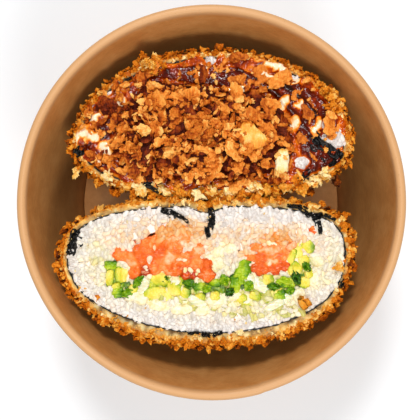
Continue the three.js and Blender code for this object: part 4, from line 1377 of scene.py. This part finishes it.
def in_ellipse(x, y, middle, reach):
    """0 in the middle of an ellipse given in mm, 1 on its edge, and more outside."""
    return math.hypot((x - middle[0] * MM) / (reach[0] * MM), (y - middle[1] * MM) / (reach[1] * MM))


def nearest_area(x, y, areas):
    return min(in_ellipse(x, y, middle, reach) for middle, reach in areas)


def on_any(x, y, pieces, edge):
    """Whether x, y lies on one of several pieces, out to a share of its reach."""
    return any(
        in_ellipse(x, y, (mx, my), (length / 2, width / 2)) < edge for mx, my, length, width, *_ in pieces
    )


def creamy(x, y, chance):
    """How creamy a grain is: most round the filling."""
    if on_any(x, y, MASH, 1):
        return chance.uniform(0.7, 1.0)
    if in_ellipse(x, y, *SMEAR) < 1:
        return chance.uniform(0.45, 0.95)
    near = nearest_area(x, y, CREAMY_AREAS)
    return max(0.0, min(0.8, 1.5 - 1.2 * near)) * chance.uniform(0.5, 1.0)


def stained(x, y, chance):
    """How much a grain is stained by the salmon, which is above the salmon only."""
    near = nearest_area(x, y, STAINED_AREAS)
    close = nearest_area(x, y, SOAKED_AREAS)
    spread = max(0.0, min(0.6, 1.4 - 1.1 * near)) * chance.uniform(0.4, 1.0)
    soaked = max(0.0, 1.0 - close) * chance.uniform(0.4, 1.0)
    return min(1.0, spread + soaked) * (y > STAIN_END)


def front_grains(outline, material):
    """The front's grains: few lie on the mash, and next to none on the salmon."""
    chance = random.Random(4)

    def open_here(x, y):
        if on_any(x, y, MASH, 1) and chance.random() > GRAINS_ON_MASH:
            return False
        return not on_any(x, y, SALMON_LEFT + SALMON_RIGHT, 0.95) or chance.random() < GRAINS_ON_SALMON

    lay_grains(
        "front", FRONT_CUT, outline, material, count=FRONT_GRAINS, seed=21, sink=0.45 * MM,
        open_here=open_here, stain=stained, cream=creamy,
    )


LOOSE_CRUMBS = 22
LARGE_CRUMB = (36.2 * MM, -39.4 * MM, FRONT_CUT + 1.9 * MM, 6.2 * MM, 0.4)  # x, y, z, size and tone


def loose_crumbs(outline, material):
    """Crumbs that fell on the front's cut face, the largest first."""
    chance = random.Random(9)
    spots = [LARGE_CRUMB]
    while len(spots) < LOOSE_CRUMBS:
        x, y = chance.uniform(-54, 52) * MM, chance.uniform(-52, -2) * MM
        if outline.depth(x, y) > 1 * MM:
            size = chance.uniform(0.5, 1.2) * MM
            spots.append((x, y, FRONT_CUT + 0.5 * MM, size, chance.uniform(0.0, 0.3)))
    chance = random.Random(4)
    layer = Scatter([bread_crumb(k) for k in range(6)], smooth=True)
    for k, (x, y, z, size, tone) in enumerate(spots):
        scale = uneven(chance, size, 0.75, 1.2)
        layer.add(k, (x, y, z), turn_matrix(chance, 0.6), scale, tone=tone)
    layer.build("front_loose_crumbs", material, "crust")


# ---------- Dressing of the back half ----------

BACK_GRAINS = 130
GLAZE_STEP = 0.48 * MM
GLAZE_MARGIN = 0.4 * MM  # how far inside the crust's outline the sheet ends
GLAZE_THICKNESS = 1.2 * MM
GLAZE_DEEP = 3.2 * MM  # how high over the cut the glaze is darkest
GLAZE_DIP = 2 * MM  # how far the sheet dips under the cut where the rice is bare
# Where the rice is bare: x, y and reach in mm.
BARE_RICE = [
    (48.6, 24.8, 4.2), (46.2, 31.2, 2.4), (-0.4, 57.2, 2.6), (33.8, 51.0, 2.6), (36.0, 15.6, 2.4),
    (41.6, 24.4, 1.9), (-50.6, 34.2, 2.8), (-34.8, 51.6, 2.6), (-27.4, 9.8, 2.8), (-55.0, 23.0, 1.8),
    (-42.0, 45.0, 2.4),
]
# Where mayonnaise shows: x, y of one end, x, y of the other, and half its width, in mm.
MAYO_PATCHES = [
    (15.4, 59.6, 21.0, 57.4, 1.5), (22.6, 54.8, 26.0, 53.6, 1.2), (27.2, 55.0, 29.0, 51.0, 1.4),
    (-3.6, 50.6, -1.8, 53.6, 1.3), (8.8, 42.8, 12.2, 45.2, 1.9), (33.0, 49.2, 32.2, 47.6, 1.0),
    (27.8, 38.2, 29.6, 41.2, 1.2), (25.4, 35.0, 26.6, 36.0, 0.9), (30.8, 29.6, 33.4, 32.2, 1.5),
    (41.2, 28.6, 43.2, 32.4, 1.1), (34.2, 38.0, 35.4, 39.6, 0.9), (18.6, 51.0, 24.0, 49.4, 0.8),
    (-55.4, 31.4, -49.0, 32.6, 1.5), (-49.0, 32.6, -43.8, 34.6, 1.1), (-54.6, 27.8, -53.6, 23.6, 1.3),
    (-50.4, 27.4, -46.0, 25.6, 1.9), (-41.8, 21.2, -40.8, 18.2, 1.6), (-44.6, 17.4, -43.8, 16.0, 0.9),
    (-35.6, 39.6, -33.8, 37.6, 1.3), (-27.4, 48.0, -25.6, 47.2, 1.1), (-48.6, 9.2, -45.0, 8.0, 1.2),
]


def along_patch(x, y, patch):
    """1 in the middle of a patch of mayonnaise, less further out, and 0 beyond it, with an uneven edge."""
    ax, ay, bx, by, reach = [value * MM for value in patch]
    x += 1.5 * MM * ripple(x, y, 0.7, 2.4 * MM)
    y += 1.5 * MM * ripple(x, y, 4.7, 2.4 * MM)
    length = math.hypot(bx - ax, by - ay)
    share = max(0.0, min(1.0, ((x - ax) * (bx - ax) + (y - ay) * (by - ay)) / length ** 2))
    apart = math.hypot(x - ax - share * (bx - ax), y - ay - share * (by - ay))
    return max(0.0, 1 - apart / (2.5 * reach * (1.15 - 0.45 * share)))


def glaze_cover(x, y):
    """Above 0 where glaze or mayonnaise lies on the rice, below 0 where it doesn't."""
    wobble = 0.35 * ripple(x, y, 0.3, 3 * MM)
    bare = min(math.hypot(x - a * MM, y - b * MM) / (reach * MM) for a, b, reach in BARE_RICE)
    return min(1.0, 1.2 * (bare + wobble - 0.95))


def back_grains(outline, material):
    """The grains that show where the rice is bare."""
    def bare(x, y):
        return glaze_cover(x, y) < 0.12

    def clean(*_):
        return 0.0

    lay_grains(
        "back", BACK_CUT, outline, material, count=BACK_GRAINS, seed=22, sink=0.2 * MM,
        open_here=bare, stain=clean, cream=clean,
    )


def glaze(outline, material):
    """One sheet of glaze and mayonnaise over the solid's own strokes, which dips where the rice is bare."""
    low, high = outline.ring.min(axis=0), outline.ring.max(axis=0)
    columns, rows = [int((b - a) / GLAZE_STEP) for a, b in zip(low, high)]
    piece = new_primitive(
        bpy.ops.mesh.primitive_grid_add, "soy_glaze", (high[0] - low[0], high[1] - low[1], 1),
        x_subdivisions=columns, y_subdivisions=rows, size=1,
    )
    bpy.ops.object.mode_set(mode="OBJECT")
    middle = (low + high) / 2
    solid = surface_of("back_rice")
    outside = []
    mayo = []
    for vertex in piece.data.vertices:
        x, y = vertex.co.x + middle[0], vertex.co.y + middle[1]
        depth = outline.depth(x, y)
        margin = (1.9 + 3.2 * ripple(x, y, 8, 9 * MM)) * MM
        cover = min(glaze_cover(x, y), (depth - margin) / (1.4 * MM))
        white = max(along_patch(x, y, patch) for patch in MAYO_PATCHES)
        lumps = ripple(x, y, 5, 2.6 * MM) + 0.5 * ripple(x, y, 9, 1.3 * MM)
        swell = 0.9 + 0.6 * lumps + 0.7 * white
        stroke = 0.6 * max(0.0, (top_of(solid, x, y) or 0.0) - BACK_CUT) / MM
        height = ((swell + stroke) * math.tanh(3 * cover) if cover > 0 else 2.5 * cover) * MM
        vertex.co = (x, y, BACK_CUT + max(height, -GLAZE_DIP))
        mayo.append(white)
        if depth < GLAZE_MARGIN:
            outside.append(vertex.index)
    set_attribute(piece, "mayo", mayo)
    mesh = bmesh.new()
    mesh.from_mesh(piece.data)
    mesh.verts.ensure_lookup_table()
    bmesh.ops.delete(mesh, geom=[mesh.verts[k] for k in outside], context="VERTS")
    mesh.to_mesh(piece.data)
    mesh.free()
    apply_modifier(piece, "SOLIDIFY", thickness=GLAZE_THICKNESS, offset=-1)
    set_attribute(piece, "tone", np.clip((vertices_of(piece)[:, 2] - BACK_CUT) / GLAZE_DEEP, 0, 1))
    smooth(piece)
    finish_piece(piece, material, "sauce", "back_rice")


# Flakes that lie apart or stand out: x, y, length, width in mm, turn, and tone.
LONE_FLAKES = [
    (11.0, 57.0, 8.0, 6.6, 0.1, 0.6), (4.8, 54.6, 11.0, 3.8, 0.7, 0.4), (10.2, 48.4, 8.4, 7.6, 0.2, 0.38),
    (14.8, 46.6, 8.8, 3.8, 1.2, 0.5), (19.4, 50.0, 9.0, 6.0, 1.4, 0.45),
    (27.4, 48.4, 11.4, 5.4, 0.62, 0.32), (20.6, 44.6, 4.6, 3.6, 0.6, 0.45),
    (21.6, 36.0, 8.8, 5.0, -1.1, 0.56), (17.0, 33.0, 10.4, 5.4, -1.0, 0.36),
    (38.4, 36.4, 9.0, 5.6, -1.2, 0.58), (47.2, 34.4, 5.6, 3.2, -0.4, 0.15),
    (35.6, 25.2, 5.4, 4.2, -0.8, 0.5), (28.4, 22.8, 5.6, 4.4, -0.3, 0.2),
    (40.0, 18.0, 4.8, 3.4, -0.9, 0.5), (6.8, 29.4, 12.6, 3.8, 1.15, 0.45),
    (30.4, 34.4, 4.6, 4.2, 0.3, 0.5), (33.6, 42.0, 5.2, 3.6, 0.9, 0.5), (30.6, 15.6, 6.0, 2.2, 1.4, 0.45),
]
# Ellipses over which the other onions are spread: middle, reach in mm, and share of the onions.
ONION_AREAS = [
    ((-8, 27), (32, 19), 54), ((-34, 27), (18, 17), 16), ((12, 22), (20, 15), 12), ((-8, 46), (30, 9), 9),
    ((0, 11), (36, 5), 9), ((34, 34), (17, 18), 3),
]
LARGE_FLAKES = 105
SMALL_FLAKES = 510
ONION_LUMPS = 350
ONION_TONES = (0.02, 0.14, 0.22, 0.28, 0.34, 0.4, 0.48, 0.6, 0.78)


def onion_spots(count, outline, height, seed):
    """Where onions lie: x, y, z, spread by ONION_AREAS."""
    chance = random.Random(seed)
    spots = []
    weights = [weight for _, _, weight in ONION_AREAS]
    while len(spots) < count:
        (mx, my), (rx, ry), _ = chance.choices(ONION_AREAS, weights)[0]
        angle = chance.uniform(0, 2 * math.pi)
        reach = chance.random() ** 0.5
        x = (mx + rx * reach * math.cos(angle)) * MM
        y = (my + ry * reach * math.sin(angle)) * MM
        if outline.depth(x, y) > 0.5 * MM:
            spots.append((x, y, height(x, y)))
    return spots


def onion_tone(chance):
    return chance.choice(ONION_TONES) + chance.uniform(-0.06, 0.06)


def lay_flakes(layer, spots, sizes, tilt, lift, chance):
    """Lays a flake on each spot: one of the sizes, and a lift between the lowest and the highest, in mm."""
    for k, (x, y, z) in enumerate(spots):
        size = chance.choice(sizes) * MM
        turn = turn_matrix(chance, tilt)
        layer.add(k, (x, y, z + chance.uniform(*lift) * MM), turn, [size] * 3, tone=onion_tone(chance))


def onions(outline, material):
    """Curled flakes and knobbly lumps over the heap's own core."""
    tree = surface_of("back_onion_heap")

    def height(x, y):
        """The height of the heap's solid, or of the glaze beside it."""
        return top_of(tree, x, y) or BACK_CUT + 1.3 * MM

    core = copy_of_node("back_onion_heap", "onion_heap_core")
    apply_modifier(core, "REMESH", mode="VOXEL", voxel_size=SOFT_CELL)
    displace(core, "VORONOI", 3 * MM, -1.2 * MM, middle=0.2)
    displace(core, "CLOUDS", 1.2 * MM, 0.8 * MM, noise_depth=2)
    # The core's darker tone is partly painted shade for the gaps between flakes, where it shows, and partly
    # glaze.
    set_attribute(core, "tone", np.full(len(core.data.vertices), 0.62))
    finish_piece(core, material, "onion", "back_onion_heap")

    chance = random.Random(77)
    large = Scatter([onion_flake(seed) for seed in range(1, 13)])
    for k, (x, y, long, wide, turn, tone) in enumerate(LONE_FLAKES):
        at = (x * MM, y * MM, height(x * MM, y * MM) + 0.9 * MM)
        lean = Euler((chance.uniform(-0.2, 0.2), chance.uniform(-0.2, 0.2), turn)).to_matrix()
        large.add(k, at, lean, (long * MM, wide * 1.5 * MM, long * MM), tone=tone)
    spots = onion_spots(LARGE_FLAKES, outline, height, seed=5)
    lay_flakes(large, spots, sizes=(6.0, 7.0, 8.0, 9.5), tilt=0.6, lift=(0, 1.3), chance=chance)
    heap = [core, large.build("onion_flakes", material, "onion", "back_onion_heap")]

    small = Scatter([onion_flake(seed, 3) for seed in range(21, 35)])
    spots = onion_spots(SMALL_FLAKES, outline, height, seed=8)
    lay_flakes(small, spots, sizes=(2.6, 3.2, 3.8, 4.6, 5.4), tilt=0.9, lift=(-0.3, 1.4), chance=chance)
    heap.append(small.build("small_onion_flakes", material, "onion", "back_onion_heap"))

    lumps = Scatter([fried_lump(seed) for seed in range(1, 9)])
    for k, (x, y, z) in enumerate(onion_spots(ONION_LUMPS, outline, height, seed=6)):
        size = chance.choice((1.2, 1.6, 2.1, 2.7, 3.4)) * MM
        at = (x, y, z + chance.uniform(-0.2, 1.2) * MM)
        lumps.add(k, at, turn_matrix(chance), [size] * 3, tone=onion_tone(chance))
    heap.append(lumps.build("onion_lumps", material, "onion", "back_onion_heap"))
    shade_gaps(heap, reach=2.6 * MM, amount=0.5)


# The pale chips on top: node, place and size in mm, seed, turn in degrees, taper, and tone.
PALE_CHIPS = [
    ("back_pale_flake", (15.0, 25.6, 71.4), (10.6, 8.2, 1.6), 7, -72, -0.45, 0.42),
    ("back_white_chip", (27.7, 16.2, 68.6), (8.6, 4.4, 2.2), 11, 84, 0.14, 0.0),
]


def pale_chip(node, place, sizes, seed, degrees, taper, tone, material):
    """A flat toasted sliver, narrower at one end and with a ragged, blistered outline."""
    at = [value * MM for value in place]
    size = [value * MM for value in sizes]
    turn = math.radians(degrees)
    chip = soft_lump(f"{node}_piece", (0, 0, 0), size, seed, turn=0.0, square=0.4, rough=0.2, tilt=0.05)
    for vertex in chip.data.vertices:
        vertex.co.y *= 1 - taper * 2 * vertex.co.x / size[0]
        x, y = vertex.co.x, vertex.co.y
        ragged = ripple(x, y, seed * MM, 2.2 * MM) + 0.6 * ripple(x, y, seed * MM, 1.0 * MM)
        vertex.co.x *= 1 + 0.14 * ragged
        vertex.co.y *= 1 + 0.18 * ragged
    displace(chip, "CLOUDS", 1.6 * MM, 0.7 * MM, noise_depth=2)
    chip.data.transform(Matrix.Translation(at) @ Euler((0.12, -0.08, turn)).to_matrix().to_4x4())
    along = (vertices_of(chip) - np.array(at)) @ np.array((math.cos(turn), math.sin(turn), 0))
    reach = np.abs(along) / (size[0] / 2)
    set_attribute(chip, "tone", tone + 0.4 * np.clip(reach, 0, 1) ** 3)
    finish_piece(chip, material, "onion_pale", node)


# ---------- Scene ----------

CAMERA_PLACE = (-0.45 * MM, -3.0 * MM, 334 * MM)
LENS = 58.5  # in mm, as is SENSOR
SENSOR = 36
LIGHT_AIM = Vector((0, 0, 0.04))
# Name, place, size and power of each light.
LIGHTS = [
    ("window", (-0.06, 0.44, 0.7), 0.16, 3.2), ("overhead", (0.0, 0.0, 0.9), 0.2, 2.1),
    ("fill", (0.14, -0.5, 0.6), 0.24, 2.3),
]


def camera():
    data = bpy.data.cameras.new("camera")
    data.lens = LENS
    data.sensor_width = SENSOR
    data.clip_start = 0.01
    view = new_object("camera", data)
    view.location = CAMERA_PLACE
    bpy.context.scene.camera = view


def area_light(name, place, size, power):
    data = bpy.data.lights.new(name, "AREA")
    data.size = size
    data.energy = power
    light = new_object(name, data)
    light.location = place
    light.rotation_euler = (LIGHT_AIM - Vector(place)).to_track_quat("-Z", "Y").to_euler()


def studio():
    bpy.ops.object.select_all(action="DESELECT")
    bpy.ops.mesh.primitive_plane_add(size=3, location=(0, 0, -0.0005))
    floor = bpy.context.active_object
    floor.name = "studio_floor"
    floor.data.materials.append(pale_floor())
    world = bpy.data.worlds.new("studio")
    world.use_nodes = True
    background = world.node_tree.nodes["Background"]
    background.inputs["Color"].default_value = colour("#ffffff")
    background.inputs["Strength"].default_value = 0.3
    bpy.context.scene.world = world
    for light in LIGHTS:
        area_light(*light)
    bpy.context.scene.view_settings.view_transform = "Standard"


# ---------- The whole ----------

RING_DEPTH = 1.0 * MM  # how far under the cut the nori's outline is read
FRONT_TUCK = 2.2 * MM  # how far the crust laps over the cut at the front
FAR_TUCK = 1.2 * MM  # and along its far side
AVOCADO_PIECES = 8
GREEN_PIECES = (
    "spring_onion", "leaf_middle", "leaf_right", "leaf_left", "green_left", "bean_left", "bean_right",
    "green_lower",
)


def tucked_ring():
    """The front nori's outline, drawn in where the crust laps over it, and the collar's width along it."""
    ring = outline_of("front_nori", FRONT_CUT - RING_DEPTH, RING_POINTS, RING_ROUNDING)
    low, high = ring.min(axis=0), ring.max(axis=0)
    back = (ring[:, 1] - low[1]) / (high[1] - low[1])
    near = np.clip((0.42 - back) / 0.36, 0, 1)
    near = near ** 2 * (3 - 2 * near)
    far = np.clip((back - 0.7) / 0.3, 0, 1)
    shift = FRONT_TUCK * near - FAR_TUCK * far
    tucked = ring + np.stack([np.zeros(len(ring)), shift], axis=1)
    return tucked, COLLAR_WIDTH + 1.1 * (FRONT_TUCK * near + FAR_TUCK * far)


def front_half(materials):
    crust("front", FRONT_CUT, materials["crust"])
    fried_clumps("front_crust_clumps", FRONT_CLUMPS, materials["crust"], seed=12)
    ring, width = tucked_ring()
    cut_bands("front", ring, FRONT_CUT, width, materials, crumbs=420, seed=51)
    outline = Outline(ring)
    nori_crumples("front_nori_crumple", FRONT_CUT + 0.2 * MM, FRONT_NORI_CRUMPLES, materials["nori"])
    rice_core("front", FRONT_CUT - 1.05 * MM, materials["rice"])
    salmon("left", SALMON_LEFT, materials["salmon"], seed=3)
    salmon("right", SALMON_RIGHT, materials["salmon"], seed=31)
    mash(materials["avocado"])
    for k in range(1, AVOCADO_PIECES + 1):
        piece_of_node(
            f"front_avocado_{k}", materials["avocado"], "avocado",
            seed=60 + k, square=0.42, rough=0.26, grow=1.02, skin=2.4 * k,
        )
    for k, name in enumerate(GREEN_PIECES):
        piece_of_node(
            f"front_{name}", materials["leaf"], "green",
            seed=80 + k, square=0.35, rough=0.3, grow=1.0, skin=1.9 * k,
        )
    cream_bed("cream_upper", materials["cream"])
    cream_bed("cream_lower", materials["cream"])
    filling_bits(materials)
    front_grains(outline, materials["rice"])
    loose_crumbs(outline, materials["crust"])


def back_half(materials):
    whole = Outline(outline_of("back_crust", BACK_CUT - 1.5 * MM))
    crust("back", BACK_CUT, materials["crust"])
    fried_clumps("back_crust_clumps", BACK_CLUMPS, materials["crust"], seed=13)
    ring = outline_of("back_nori", BACK_CUT - RING_DEPTH, RING_POINTS, RING_ROUNDING)
    width = np.full(len(ring), COLLAR_WIDTH)
    cut_bands("back", ring, BACK_CUT, width, materials, crumbs=300, seed=52)
    nori_crumples("back_nori_crumple", BACK_CUT + 0.9 * MM, BACK_NORI_CRUMPLES, materials["nori"])
    rice_core("back", BACK_CUT - 0.8 * MM, materials["rice"])
    back_grains(Outline(ring), materials["rice"])
    glaze(whole, materials["glaze"])
    onions(whole, materials["onion"])
    for chip in PALE_CHIPS:
        pale_chip(*chip, materials["chip"])


def main():
    materials = {
        "paper": kraft_paper(), "crust": crust_crumb(), "nori": nori_sheet(), "rice": cooked_rice(),
        "salmon": raw_salmon(), "cream": soft_cheese(), "avocado": avocado_flesh(), "leaf": green_leaf(),
        "raw_onion": raw_onion(), "onion": fried_onion(), "chip": toasted_chip(), "glaze": soy_glaze(),
    }
    bowl_wall(materials["paper"])
    bowl_floor(materials["paper"])
    front_half(materials)
    back_half(materials)
    for node in ("front_nori", "back_nori"):
        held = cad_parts[node].data.materials
        held.clear()
        held.append(materials["nori"])
    studio()
    camera()


main()
